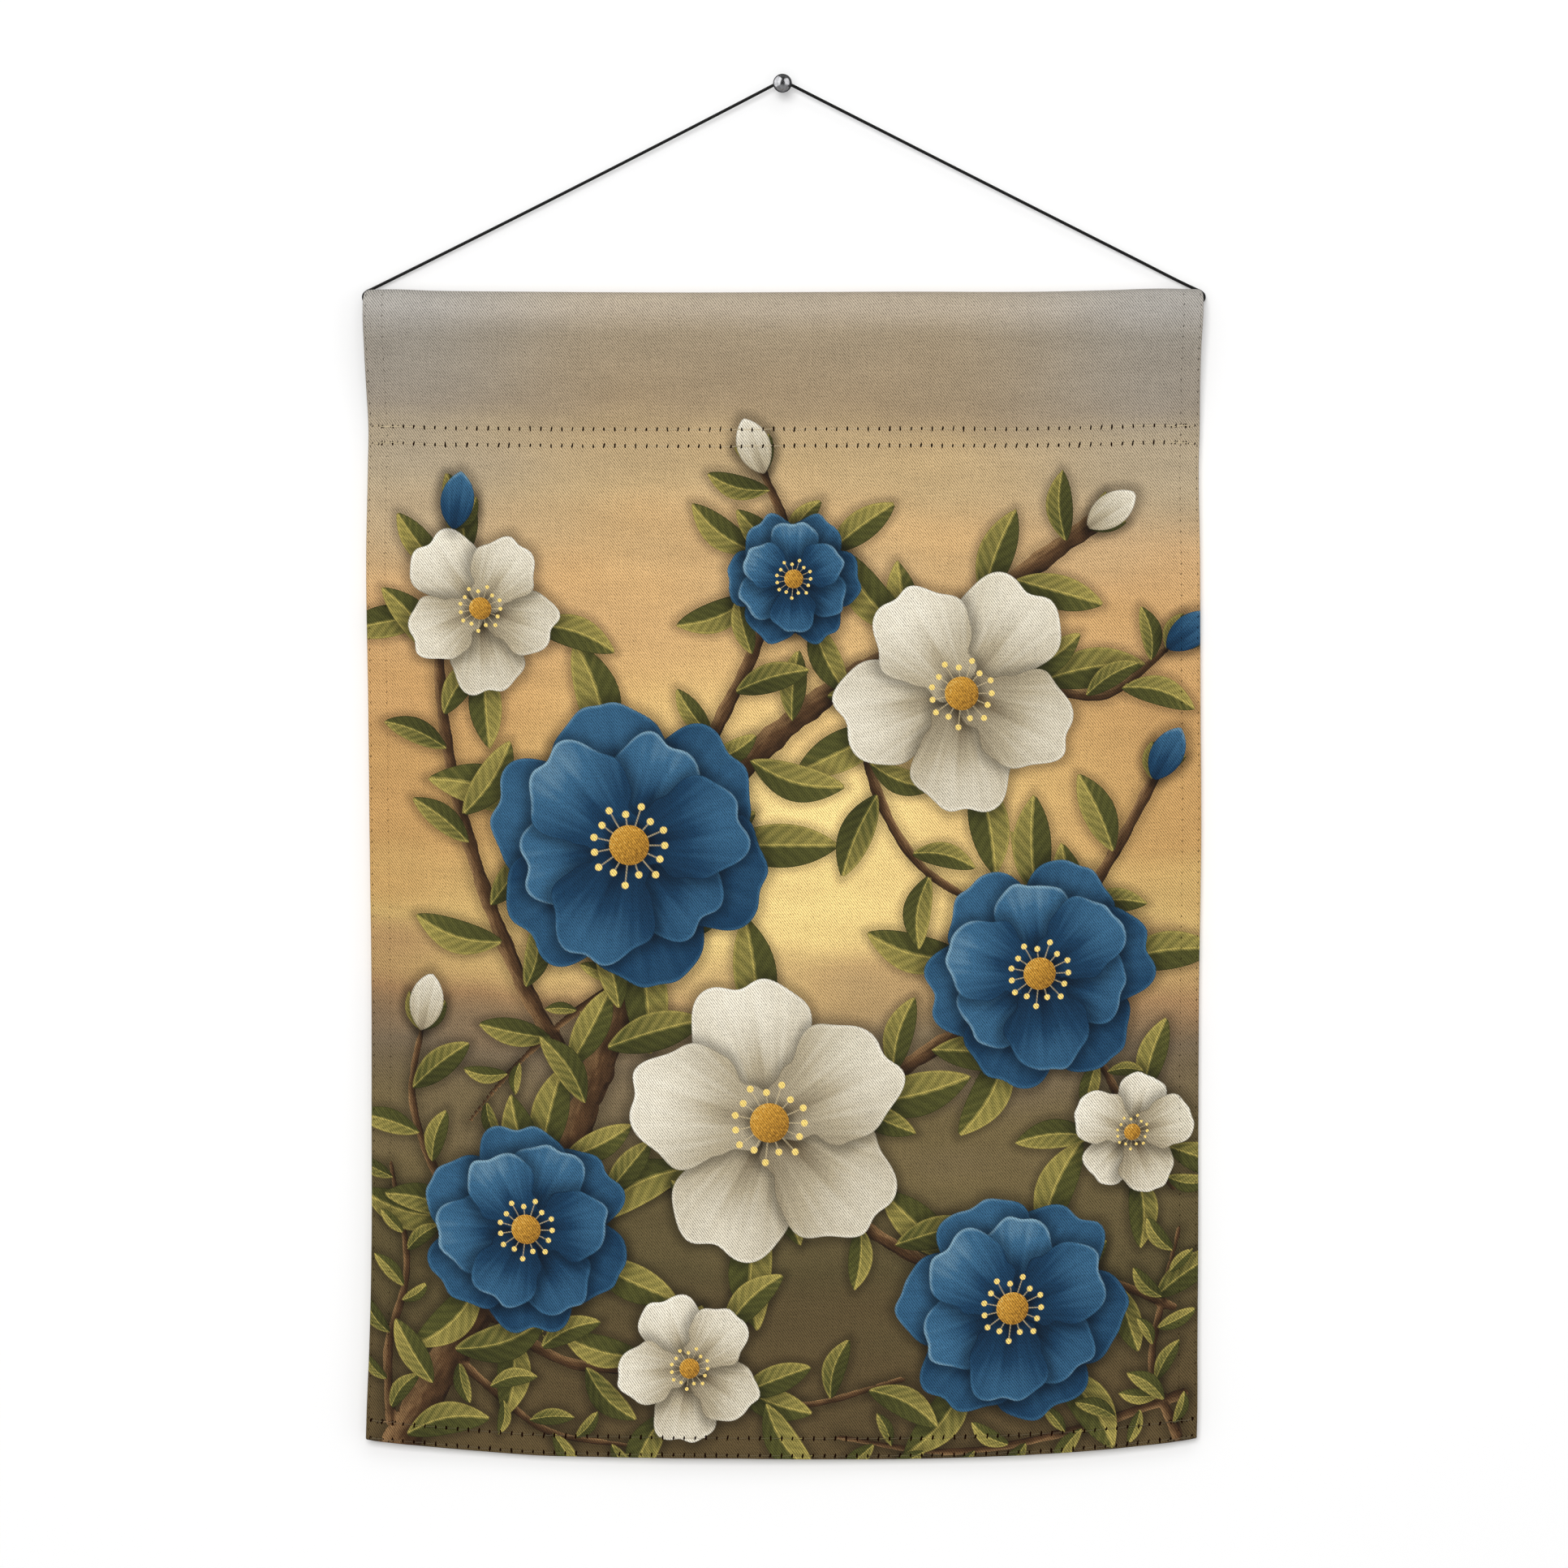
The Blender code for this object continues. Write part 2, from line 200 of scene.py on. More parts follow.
# The top fold: x, z
TOP_EDGE = (
    (-0.16, -0.0786), (-0.15, -0.0783), (-0.134, -0.0788), (-0.1, -0.0792), (-0.045, -0.0795),
    (0.045, -0.0792), (0.105, -0.0791), (0.125, -0.0786), (0.144, -0.078), (0.16, -0.0783),
)

# The bottom hem's lower edge: x, z
BOTTOM_EDGE = (
    (-0.1591, -0.5177), (-0.1566, -0.5182), (-0.149, -0.5192), (-0.1346, -0.5206), (-0.1174, -0.5222),
    (-0.0955, -0.5239), (-0.0648, -0.5247), (-0.018, -0.5252), (0.023, -0.5255), (0.0463, -0.5254),
    (0.0697, -0.5248), (0.0979, -0.5235), (0.1165, -0.5223), (0.1351, -0.5205), (0.1506, -0.5187),
    (0.1568, -0.5177), (0.159, -0.5172),
)

# The sleeve's section, seen from its end: drop below the top fold, y of its front face, y of its back face
SLEEVE_SECTION = (
    (0.0, -0.006, -0.006), (0.0007, -0.008, -0.004), (0.0024, -0.0094, -0.0029),
    (0.0056, -0.0104, -0.0023), (0.011, -0.0108, -0.0021), (0.02, -0.0105, -0.0021),
    (0.031, -0.0094, -0.0024), (0.042, -0.0078, -0.0031), (0.0515, -0.0066, -0.0041),
    (0.057, -0.0063, -0.004), (0.0615, -0.0062, -0.0039),
)

# The panel's own line from the sleeve down to the hem: z, y of its front face
PANEL_SECTION = (
    (-0.138, -0.0062), (-0.16, -0.006), (-0.2, -0.0055), (-0.26, -0.0051), (-0.33, -0.0052),
    (-0.4, -0.0058), (-0.46, -0.0066), (-0.5, -0.007), (-0.527, -0.0066),
)

# Soft upright folds of the panel: x, half width, how far it stands forward at the hem, z where it starts
PANEL_FOLDS = (
    (-0.16, 0.032, 0.0014, -0.15), (-0.095, 0.042, -0.001, -0.2), (-0.03, 0.046, 0.0012, -0.17),
    (0.042, 0.04, -0.0008, -0.23), (0.101, 0.036, 0.0009, -0.19), (0.16, 0.03, -0.0006, -0.16),
)

# The cord's way, from inside the sleeve's left end, over the pin, and back through the sleeve: x, y, z
CORD_ROUTE = (
    (-0.128, -0.006, -0.0809), (-0.142, -0.0061, -0.0811), (-0.151, -0.0061, -0.0822),
    (-0.1555, -0.0061, -0.0831), (-0.1581, -0.006, -0.08327), (-0.1592, -0.0056, -0.08298),
    (-0.16, -0.0049, -0.08217), (-0.1603, -0.004, -0.08107), (-0.16, -0.0033, -0.07997),
    (-0.15908, -0.0031, -0.0791), (-0.1571, -0.0031, -0.07812), (-0.153, -0.0032, -0.0761),
    (-0.1355, -0.0036, -0.06744), (-0.0772, -0.0045, -0.03819), (-0.0189, -0.0051, -0.00827),
    (-0.0033, -0.0052, -0.00015), (-0.00065, -0.0052, 0.00124), (0.0, -0.0052, 0.0015),
    (0.00065, -0.0052, 0.00124), (0.0033, -0.0052, -0.0001), (0.0189, -0.0051, -0.00801),
    (0.0797, -0.0045, -0.03877), (0.136, -0.0036, -0.06714), (0.1545, -0.0032, -0.07645),
    (0.1581, -0.003, -0.07813), (0.16006, -0.003, -0.07909), (0.16101, -0.0032, -0.07999),
    (0.1613, -0.004, -0.08113), (0.161, -0.0049, -0.08226), (0.1601, -0.0056, -0.08309),
    (0.159, -0.006, -0.08336), (0.1564, -0.0061, -0.0832), (0.1515, -0.0061, -0.0822),
    (0.142, -0.0061, -0.08085), (0.125, -0.006, -0.0808), (0.105, -0.006, -0.0812),
    (0.045, -0.006, -0.0813), (-0.045, -0.006, -0.0816), (-0.1, -0.006, -0.0813),
    (-0.12765, -0.006, -0.0809),
)

# The print's layers from the lowest, and for each kind how dark its shadow is and how far it spreads
LAYERS = ("twig", "leaf_one", "leaf_two", "petal_one", "petal_two", "petal_three", "petal_four", "heart")
SHADOWS = {"twig": (0.34, 5.0), "leaf": (0.40, 4.2), "petal": (0.46, 5.6), "heart": (0.50, 4.0)}
FAR = 6.0
MARGIN = FAR + 2
HEART_REACH = 9.5
BLUE, WHITE = 0.0, 2.0

# Blossoms of the print: kind, x, drop, petal length, petals, turn in degrees
BLOSSOMS = (
    (BLUE, -60, 214, 57, 6, 12),
    (BLUE, 98, 264, 46, 6, 40),
    (BLUE, -100, 362, 42, 6, 5),
    (BLUE, 88, 392, 46, 6, 22),
    (BLUE, 4, 112, 27, 6, 30),
    (WHITE, 68, 156, 48, 5, -20),
    (WHITE, -6, 320, 56, 5, 28),
    (WHITE, -116, 124, 32, 5, 60),
    (WHITE, 134, 327, 24, 5, 8),
    (WHITE, -36, 414, 29, 5, 45),
)
PETAL_SHAPE = 0.83
FAN_START = 0.12
STAMENS = 15
BUD_LENGTH = 23

# Branches of the print: width at both ends, the bud at the tip, leaf length, and the points x, drop
BRANCHES = (
    (14, 7, WHITE, 34, (
        (-150, 456), (-118, 392), (-84, 330), (-58, 262), (-30, 200), (14, 158), (62, 130), (118, 92)
    )),
    (7, 3, BLUE, 30, ((-76, 312), (-104, 262), (-124, 204), (-132, 150), (-126, 92))),
    (6.5, 3, WHITE, 26, ((-44, 226), (-30, 178), (-10, 136), (2, 98), (-8, 70))),
    (9, 4, BLUE, 32, ((-98, 356), (-52, 344), (-6, 330), (44, 300), (88, 270), (130, 212), (142, 190))),
    (6, 3, None, 28, ((-6, 330), (34, 362), (84, 384), (124, 384), (150, 396))),
    (5, 2.5, BLUE, 26, ((62, 132), (92, 150), (122, 158), (148, 140))),
    (5, 2.5, None, 30, ((30, 150), (34, 190), (52, 222), (80, 240))),
    (4.5, 2, None, 30, ((-118, 392), (-84, 412), (-44, 416), (4, 428), (46, 418))),
    (4.5, 2, WHITE, 26, ((-112, 376), (-134, 344), (-144, 312), (-140, 286))),
    (4, 2, None, 18, ((98, 276), (122, 300), (134, 326), (150, 350))),
    (4, 1.6, None, 16, ((-150, 440), (-152, 410), (-146, 384), (-152, 340))),
    (4, 1.6, None, 17, ((-128, 412), (-112, 424), (-92, 438), (-58, 444))),
    (4, 1.6, None, 16, ((152, 446), (142, 418), (146, 392), (152, 366))),
    (4, 1.6, None, 17, ((154, 430), (112, 440), (64, 446), (22, 440))),
    (3.5, 1.4, None, 16, ((-58, 262), (-88, 284), (-108, 304), (-122, 322))),
)
BRANCH_STEP = 3
HEADING_REACH = 2
LEAF_GAP = 0.62
LEAF_SHAPE = 0.37
LEAF_CLEARANCE = 0.8
# Leaves behind a blossom stand this share of a petal out, and those under a bud are this long and turned
BLOSSOM_FOOT = 0.62
BUD_LEAF = 16
BUD_LEAF_TURN = 27
# The grid that leaves are fitted on: x, drop, step
FITTING_GRID = ((-164, 165), (40, 460), 2.0)

# The ground of the print: drop, then red, green and blue as seen on a screen
# Its rows from drop -12 to 9 are lighter than those round them: a painted highlight along the top fold.
GROUND_AND_FOLD_HIGHLIGHT = (
    (-62, 152, 141, 123), (-12, 166, 152, 132), (0, 178, 165, 145), (9, 175, 161, 141),
    (19, 157, 141, 117), (44, 158, 138, 110), (59, 178, 154, 117), (76, 188, 161, 119),
    (120, 202, 161, 111), (170, 190, 147, 95), (215, 187, 146, 92), (243, 195, 163, 104),
    (268, 156, 122, 86), (296, 113, 98, 78), (335, 108, 94, 64), (372, 86, 76, 51), (408, 88, 75, 51),
    (436, 88, 74, 50), (470, 86, 72, 49),
)
# Its glow: middle x, middle drop, half width, half height
GLOW = (10, 205, 86, 66)
GLOW_COLOUR = (255, 226, 150)
GLOW_STRENGTH = 0.85
# What is added to it at the sides, and the drops between which that fades out
SIDE_CHANGE = (-10, -1, 12)
SIDE_START = (55, 150)
SIDE_DROPS = (70, 130)


def columns(table):
    """A table's columns as arrays."""
    return np.array(table, float).T


def smooth_between(at, places, values):
    """Values at places along a table, on the cubic curve through its rows with slopes (next - last) / gap."""
    slopes = np.gradient(values, places)
    at = np.clip(at, min(places[0], places[-1]), max(places[0], places[-1]))
    if places[0] > places[-1]:
        places, values, slopes = places[::-1], values[::-1], slopes[::-1]
    row = np.clip(np.searchsorted(places, at) - 1, 0, len(places) - 2)
    span = places[row + 1] - places[row]
    t = (at - places[row]) / span
    before = values[row] * (1 + 2 * t) * (1 - t) ** 2 + slopes[row] * span * t * (1 - t) ** 2
    after = values[row + 1] * t**2 * (3 - 2 * t) + slopes[row + 1] * span * t**2 * (t - 1)
    return before + after


def along(points):
    """Distance of each point from the first, measured along them."""
    steps = np.linalg.norm(np.diff(points, axis=0), axis=1)
    return np.concatenate([[0.0], np.cumsum(steps)])


def smooth_line(points, places):
    """The smooth curve through points, read at distances measured along them."""
    points = np.array(points, float)
    marks = along(points)
    return np.stack([smooth_between(places, marks, column) for column in points.T], axis=1)


def smooth_step(low, high, value):
    """0 up to low, 1 from high on, and a soft S between."""
    share = np.clip((value - low) / (high - low), 0, 1)
    return share * share * (3 - 2 * share)


def ripple(x, y, scale, seed):
    """Soft noise from about -1 to 1: five sines of unlike lengths and headings."""
    total = 0
    for index in range(5):
        heading = seed * 1.7 + index * 2.399
        size = scale * (0.55 + 0.31 * index)
        across = x * math.cos(heading) + y * math.sin(heading)
        total = total + np.sin(across * TURN / size + seed * 3.1 + index * index)
    return total / 3.2


def seen(red, green, blue):
    """A colour as seen on a screen, 0 to 255, as the light that a shader works with."""
    return (*((value / 255) ** 2.2 for value in (red, green, blue)), 1.0)


# Cloth surface


def sleeve_guide():
    """The sleeve's section as one line of y and drop, from its back edge over the fold, and its runs."""
    drop, front, back = columns(SLEEVE_SECTION)
    sides = np.concatenate([back[::-1], front[1:]]), np.concatenate([drop[::-1], drop[1:]])
    guide = np.stack(sides, axis=1)
    marks = along(guide)
    return guide, marks - marks[len(drop) - 1]


GUIDE, GUIDE_RUN = sleeve_guide()
BACK_RUN = -GUIDE_RUN[0]
FRONT_RUN = GUIDE_RUN[-1]
BOTTOM_RUN = FRONT_RUN + PANEL_RUN


def run_at_drop(drop, front=True):
    """The run at which the sleeve's front or back has come down by drop."""
    rows = slice(len(SLEEVE_SECTION) - 1, None, 1 if front else -1)
    return float(np.interp(drop, GUIDE[rows, 1], GUIDE_RUN[rows]))


# The rows of stitches across the face
SEAM_RUNS = [run_at_drop(drop) for drop in SLEEVE_ROWS] + [BOTTOM_RUN - row for row in BOTTOM_ROWS]


def panel_front(x, z):
    """y of the panel's front face: its own slow line, and the folds that grow from their start to the hem."""
    y = smooth_between(z, *columns(PANEL_SECTION))
    lowest = PANEL_SECTION[-1][0]
    for middle, half_width, forward, start in PANEL_FOLDS:
        growth = smooth_step(0, 1, (start - z) / (start - lowest))
        y = y - forward * growth * np.exp(-(((x - middle) / half_width) ** 2))
    return y


def relief(flat_x, run):
    """How far the face stands forward over its hems, less the troughs that its rows of stitches draw in."""
    inset = EDGE - np.abs(flat_x)
    far, near = BOTTOM_FADE
    hems = np.maximum(1 - smooth_step(*SIDE_FADE, inset), smooth_step(-far, -near, run - BOTTOM_RUN))
    uneven = 1 + TROUGH_UNEVEN * ripple(flat_x, run, UNEVEN_SCALE, 3)
    height = HEM_RAISE * hems
    troughs = [(run - level, 1.0) for level in SEAM_RUNS] + [(inset - row, SIDE_TROUGH) for row in SIDE_ROWS]
    for off, share in troughs:
        height = height - share * SEAM_TROUGH * uneven * np.exp(-((off / SEAM_REACH) ** 2))
    return height * smooth_step(0.001, 0.006, run)


def cloth_spot(flat_x, run):
    """The printed face without its turned hems, at flat_x within the width and run above the bottom fold."""
    ring_run = np.clip(run, -BACK_RUN, FRONT_RUN)
    y_ring = smooth_between(ring_run, GUIDE_RUN, GUIDE[:, 0])
    drop = smooth_between(ring_run, GUIDE_RUN, GUIDE[:, 1])
    down = np.clip((run - FRONT_RUN) / PANEL_RUN, 0, 1)
    at_back = smooth_step(0, 0.004, -run)
    inset = np.maximum(BACK_END_INSET * at_back, FOLD_INSET * np.exp(-drop / FOLD_INSET_DROP))
    inset = np.where(run < FRONT_RUN, inset, 0)
    heights, *edges = columns(SIDE_EDGES)
    x = flat_x
    for _ in range(FITTING_PASSES):
        top = smooth_between(x, *columns(TOP_EDGE))
        below = top - SLEEVE_DROP
        panel_z = below + (smooth_between(x, *columns(BOTTOM_EDGE)) - below) * down
        z = np.where(run < FRONT_RUN, top - drop, panel_z)
        left, right = (smooth_between(z, heights, edge) for edge in edges)
        x = left + inset + (right - left - 2 * inset) * (flat_x / CLOTH_WIDTH + 0.5)
    y = np.where(run < FRONT_RUN, y_ring, panel_front(x, z))
    # The sleeve's back lies close to the front along its seam, but for the side hems' thickness.
    sewn = smooth_step(*SEWN_DROPS, drop) * at_back
    inner = smooth_step(SIDE_STRIP, SIDE_STRIP + 0.006, EDGE - np.abs(flat_x))
    y = y - SEAM_PINCH * sewn * inner - relief(flat_x, run)
    for depth, scale, stretch, seed in RIPPLES:
        y = y - depth * ripple(flat_x, run * stretch, scale, seed)
    return np.stack([x, y, z], axis=-1)


def unit(vectors):
    """Vectors at length 1."""
    return vectors / np.maximum(np.linalg.norm(vectors, axis=-1, keepdims=True), 1e-12)


def normals_of(surface, x, run):
    """The surface's unit normals towards its printed side: run's direction crossed with x's."""
    across = surface(x + NORMAL_STEP, run) - surface(x - NORMAL_STEP, run)
    down = surface(x, run + NORMAL_STEP) - surface(x, run - NORMAL_STEP)
    return unit(np.cross(down, across))


def turned(beyond, radius, layer, strip):
    """A hem's turn: how far a place lies in from the outermost edge, and how deep behind the face.

    beyond is the path from the fold line, negative past it; phi = beyond / radius goes from 90 to -90 degrees
    round the fold. in = radius (1 - cos phi) + layer cos phi; deep = radius (1 - sin phi) + layer sin phi.
    """
    phi = np.clip(beyond / radius, -math.pi / 2, math.pi / 2)
    straight = np.maximum(np.abs(beyond) - radius * math.pi / 2, 0)
    inward = straight + radius * (1 - np.cos(phi)) + layer * np.cos(phi)
    deep = radius * (1 - np.sin(phi)) + layer * np.sin(phi)
    # The strip's raw edge is tucked against the cloth.
    tuck = smooth_step(strip - RAW_EDGE, strip, -beyond)
    return inward, deep - tuck * np.maximum(deep - REVERSE_DEPTH - TUCK_GAP, 0)


def cloth_surface(x, run):
    """The printed face with its side and bottom hems turned to the back."""
    radius = HEM_TURN / 2
    inward, side_deep = turned(EDGE + TURN_SLACK * radius - np.abs(x), radius, 0.0, SIDE_STRIP)
    flat_x = np.sign(x) * (EDGE - inward)

    near_side = 1 - smooth_step(SIDE_STRIP, SIDE_STRIP + 0.003, EDGE - np.abs(flat_x))
    bottom_radius = (HEM_TURN + (CORNER_TURN - HEM_TURN) * near_side) / 2
    beyond = BOTTOM_RUN + TURN_SLACK * radius - run
    inward, deep = turned(beyond, bottom_radius, side_deep, BOTTOM_STRIP)
    flat_run = np.where(beyond < 0.004, BOTTOM_RUN - inward, run)
    base = cloth_spot(flat_x, flat_run)
    return base - normals_of(cloth_spot, flat_x, flat_run) * deep[..., None]


# Print


def round_cone(run, across, reach, near, far):
    """Signed distance from the shape that a circle sweeps as it grows from near to far over reach."""
    slope = (near - far) / reach
    level = math.sqrt(1 - slope * slope)
    side = np.abs(across)
    place = level * run - slope * side
    at_near = np.hypot(run, side) - near
    at_far = np.hypot(run - reach, side) - far
    between = level * side + slope * run - near
    return np.where(place < 0, at_near, np.where(place > level * reach, at_far, between))


def lens(run, across, length, width):
    """Signed distance from the space that two equal arcs enclose, pointed at both ends."""
    half, wide = length / 2, width / 2
    radius = (half * half + wide * wide) / (2 * wide)
    centre = radius - wide
    side, past = np.abs(across), np.abs(run - half)
    tip = np.hypot(side, past - half)
    body = np.hypot(side + centre, past) - radius
    return np.where((past - half) * centre > side * half, tip, body)


class Print:
    """The print at places of the flat cloth: in each layer the distance to the nearest shape, negative inside
    it, and three numbers that place the spot within that shape."""

    def __init__(self, x, drop):
        self.x, self.drop = x, drop
        self.layers = {name: np.full((x.size, 4), FAR) for name in LAYERS}
        # The ring of stamens reaches further out than a shadow does.
        self.layers["heart"][:] = 2 * FAR

    def near(self, x, drop, heading, reach):
        """Indices of the spots within reach of a point, and how far along and across a heading they lie.

        Headings turn up from the right.
        """
        found = np.flatnonzero((np.abs(self.x - x) < reach) & (np.abs(self.drop - drop) < reach))
        right, up = self.x[found] - x, drop - self.drop[found]
        cos, sin = math.cos(math.radians(heading)), math.sin(math.radians(heading))
        return found, right * cos + up * sin, up * cos - right * sin

    def lay(self, layer, found, distance, *numbers):
        """Lays a shape. Each spot keeps the numbers of the shape that is nearest to it."""
        rows = self.layers[layer]
        closer = distance < rows[found, 0]
        fields = [np.broadcast_to(number, distance.shape)[closer] for number in (distance, *numbers)]
        rows[found[closer]] = np.stack(fields, 1)


def branch_line(points):
    """A branch's middle line as points a step apart."""
    length = along(np.array(points, float))[-1]
    return smooth_line(points, np.linspace(0, length, int(length / BRANCH_STEP) + 2))


def lay_branch(art, start, end, line):
    """A tapering, slightly knotty branch: distance, share of its half width across it, length along it."""
    count = np.arange(len(line))
    widths = np.linspace(start, end, len(line)) / 2
    widths = widths * (1 + 0.10 * np.sin(count * 0.9) + 0.07 * np.sin(count * 2.3))
    low, high = line.min(axis=0) - 2 * MARGIN, line.max(axis=0) + 2 * MARGIN
    found = np.flatnonzero((art.x > low[0]) & (art.x < high[0]) & (art.drop > low[1]) & (art.drop < high[1]))
    x, drop = art.x[found], art.drop[found]
    best = np.full(x.shape, 1e3)
    across, length = np.zeros(x.shape), np.zeros(x.shape)
    for index, ((ax, ay), (bx, by)) in enumerate(zip(line[:-1], line[1:])):
        dx, dy = bx - ax, by - ay
        size = math.hypot(dx, dy)
        t = np.clip(((x - ax) * dx + (drop - ay) * dy) / size**2, 0, 1)
        off_x, off_y = x - ax - t * dx, drop - ay - t * dy
        wide = widths[index] + (widths[index + 1] - widths[index]) * t
        distance = np.hypot(off_x, off_y) - wide
        closer = distance < best
        best = np.where(closer, distance, best)
        across = np.where(closer, (off_y * dx - off_x * dy) / size / wide, across)
        length = np.where(closer, (index + t) * BRANCH_STEP, length)
    art.lay("twig", found, best, across, length, 0.0)


def lay_leaf(art, layer, x, drop, length, heading, shade):
    """A pointed leaf: distance, signed share across its midrib, share of its length, and its own shade."""
    found, run, across = art.near(x, drop, heading, length + MARGIN)
    share = run / length
    across = across - 0.10 * length * math.sin(heading * 1.3) * np.sin(np.clip(share, 0, 1) * math.pi)
    art.lay(layer, found, lens(run, across, length, length * LEAF_SHAPE), across / length, share, shade)


def lay_petal(art, layer, kind, x, drop, heading, length, seed, light):
    """A broad petal with a wavy, notched rim: distance, shares across and along it, kind and light."""
    width = length * PETAL_SHAPE
    found, run, across = art.near(x, drop, heading, length + MARGIN)
    distance = round_cone(run, across, length - width / 2, width * 0.12, width / 2)
    angle = np.arctan2(across, run - length * 0.35)
    distance = distance + width * (0.028 * np.sin(angle * 5 + seed) + 0.018 * np.sin(angle * 9 + seed * 2.3))
    notch = np.exp(-((across / (width * 0.13)) ** 2)) * smooth_step(0.6, 1.0, run / length)
    distance = distance + width * 0.07 * notch
    light = light + 0.10 * math.cos(math.radians(heading - 125))
    art.lay(layer, found, distance, across / (width / 2), run / length, kind + light)


def lay_blossom(art, kind, x, drop, length, petals, turn):
    """A blossom: one round of petals, or two on a blue one, about a golden heart.

    Neighbouring petals are in unlike layers, so that each one's rim is drawn by its own distances.
    """
    step = 360 / petals
    size = length
    if kind == BLUE:
        size = 0.80 * length
        for index in range(petals):
            layer = ("petal_one", "petal_two")[index % 2]
            heading = turn + step * (index + 0.5)
            lay_petal(art, layer, kind, x, drop, heading, length * 0.98, index * 1.9 + x, 0.36)
        order = {index: ("petal_four", "petal_three")[index % 2] for index in range(petals)}
    else:
        order = {0: "petal_three", 2: "petal_three", 1: "petal_one", 3: "petal_one", 4: "petal_two"}
    for index, layer in order.items():
        heading = turn + step * index + 4 * math.sin(index * 2.1 + x)
        reach = size * (1 + 0.06 * math.sin(index * 3.3 + drop))
        lay_petal(art, layer, kind, x, drop, heading, reach, index * 2.7 + drop, 0.50)
    heart = length * 0.135
    found, right, up = art.near(x, drop, 0, heart * 2.4 + FAR)
    right, up = right / heart, up / heart
    art.lay("heart", found, (np.hypot(right, up) - 1) * heart, right, up, heart)


def lay_bud(art, kind, x, drop, heading):
    """A closed bud at a branch's tip."""
    found, run, across = art.near(x, drop, heading, BUD_LENGTH + MARGIN)
    distance = lens(run, across, BUD_LENGTH, BUD_LENGTH * 0.56)
    share = 0.25 + 0.6 * run / BUD_LENGTH
    art.lay("petal_four", found, distance, across / (BUD_LENGTH * 0.4), share, kind + 0.5)


def heading_at(line, place):
    """Where a branch is at a place along it, in millimetres, and its heading there."""
    marks = along(line)
    places = (place - HEADING_REACH, place + HEADING_REACH)
    near, ahead = np.array([[np.interp(at, marks, part) for part in line.T] for at in places])
    return *((near + ahead) / 2), math.degrees(math.atan2(near[1] - ahead[1], ahead[0] - near[0]))


def tip_of(line):
    """Where a branch's bud grows, and its heading."""
    return heading_at(line, along(line)[-1] - HEADING_REACH)


def wanted_leaves(lines):
    """x, drop, length, heading and shade of leaves behind blossoms, under buds and along branches."""
    leaves = []
    for index, (_, x, drop, length, *_) in enumerate(BLOSSOMS):
        for leaf in range(4):
            heading = index * 77 + leaf * 90 + 18 * math.sin(leaf * 2.2 + index)
            turn = math.radians(heading)
            out = length * BLOSSOM_FOOT
            foot = (x + out * math.cos(turn), drop - out * math.sin(turn))
            leaves.append((*foot, 20 + length * 0.45, heading, 0.06 * math.sin(leaf)))
    for seed, ((_, _, bud, size, _), line) in enumerate(zip(BRANCHES, lines)):
        if bud is not None:
            x, drop, heading = tip_of(line)
            leaves += [(x, drop, BUD_LEAF, heading + side * BUD_LEAF_TURN, 0.05) for side in (-1, 1)]
        for index in range(int(along(line)[-1] / (size * LEAF_GAP))):
            place = size * LEAF_GAP * (index + 0.6 + 0.22 * math.sin(index * 2.7 + seed))
            x, drop, heading = heading_at(line, place)
            heading += (1 if index % 2 else -1) * (48 + 12 * math.sin(index * 1.9 + seed))
            length = size * (1 + 0.18 * math.sin(index * 4.1 + seed * 2))
            leaves.append((x, drop, length, heading, 0.07 * math.sin(index * 2.3 + seed)))
    return leaves


def planned_leaves(lines):
    """The wanted leaves, each in a layer where it overlaps no other; one that fits in neither is left out."""
    *reaches, step = FITTING_GRID
    x, drop = np.meshgrid(*(np.arange(*reach, step) for reach in reaches))
    art = Print(x.ravel(), drop.ravel())
    planned = []
    for leaf in wanted_leaves(lines):
        alone = Print(art.x, art.drop)
        lay_leaf(alone, "leaf_one", *leaf)
        inside = alone.layers["leaf_one"][:, 0] < LEAF_CLEARANCE
        for layer in ("leaf_one", "leaf_two"):
            if not (art.layers[layer][inside, 0] < LEAF_CLEARANCE).any():
                lay_leaf(art, layer, *leaf)
                planned.append((layer, *leaf))
                break
    return planned


BRANCH_LINES = [branch_line(points) for *_, points in BRANCHES]
LEAVES = planned_leaves(BRANCH_LINES)


def painted(x, drop):
    """The whole print at flat places in millimetres."""
    art = Print(x, drop)
    for (start, end, bud, *_), line in zip(BRANCHES, BRANCH_LINES):
        lay_branch(art, start, end, line)
        if bud is not None:
            lay_bud(art, bud, *tip_of(line))
    for leaf in LEAVES:
        lay_leaf(art, *leaf)
    for blossom in BLOSSOMS:
        lay_blossom(art, *blossom)
    return art


def ground_colour_and_fold_highlight(x, drop):
    """The print's ground: bands of the table's colours that drift like cloud, a glow and greyer sides. Its
    lighter bands along the top fold are a painted highlight.
    """
    table = np.array(GROUND_AND_FOLD_HIGHLIGHT, float)
    drift = 12 * ripple(x, drop * 3.2, 190, 1) + 6 * ripple(x, drop * 4, 80, 2)
    level = np.clip(drop + drift * smooth_step(-20, 120, drop), table[0, 0], table[-1, 0])
    colour = np.stack([np.interp(level, table[:, 0], table[:, row]) for row in (1, 2, 3)], axis=-1)
    side = smooth_step(*SIDE_START, np.abs(x)) * (1 - smooth_step(*SIDE_DROPS, drop))
    colour = colour + side[..., None] * np.array(SIDE_CHANGE)
    middle_x, middle_drop, wide, tall = GLOW
    glow = np.exp(-(((x - middle_x) / wide) ** 2) - ((level - middle_drop) / tall) ** 2)[..., None]
    colour = colour + GLOW_STRENGTH * glow * (np.array(GLOW_COLOUR) - colour)
    return (colour / 255) ** 2.2


# Meshes


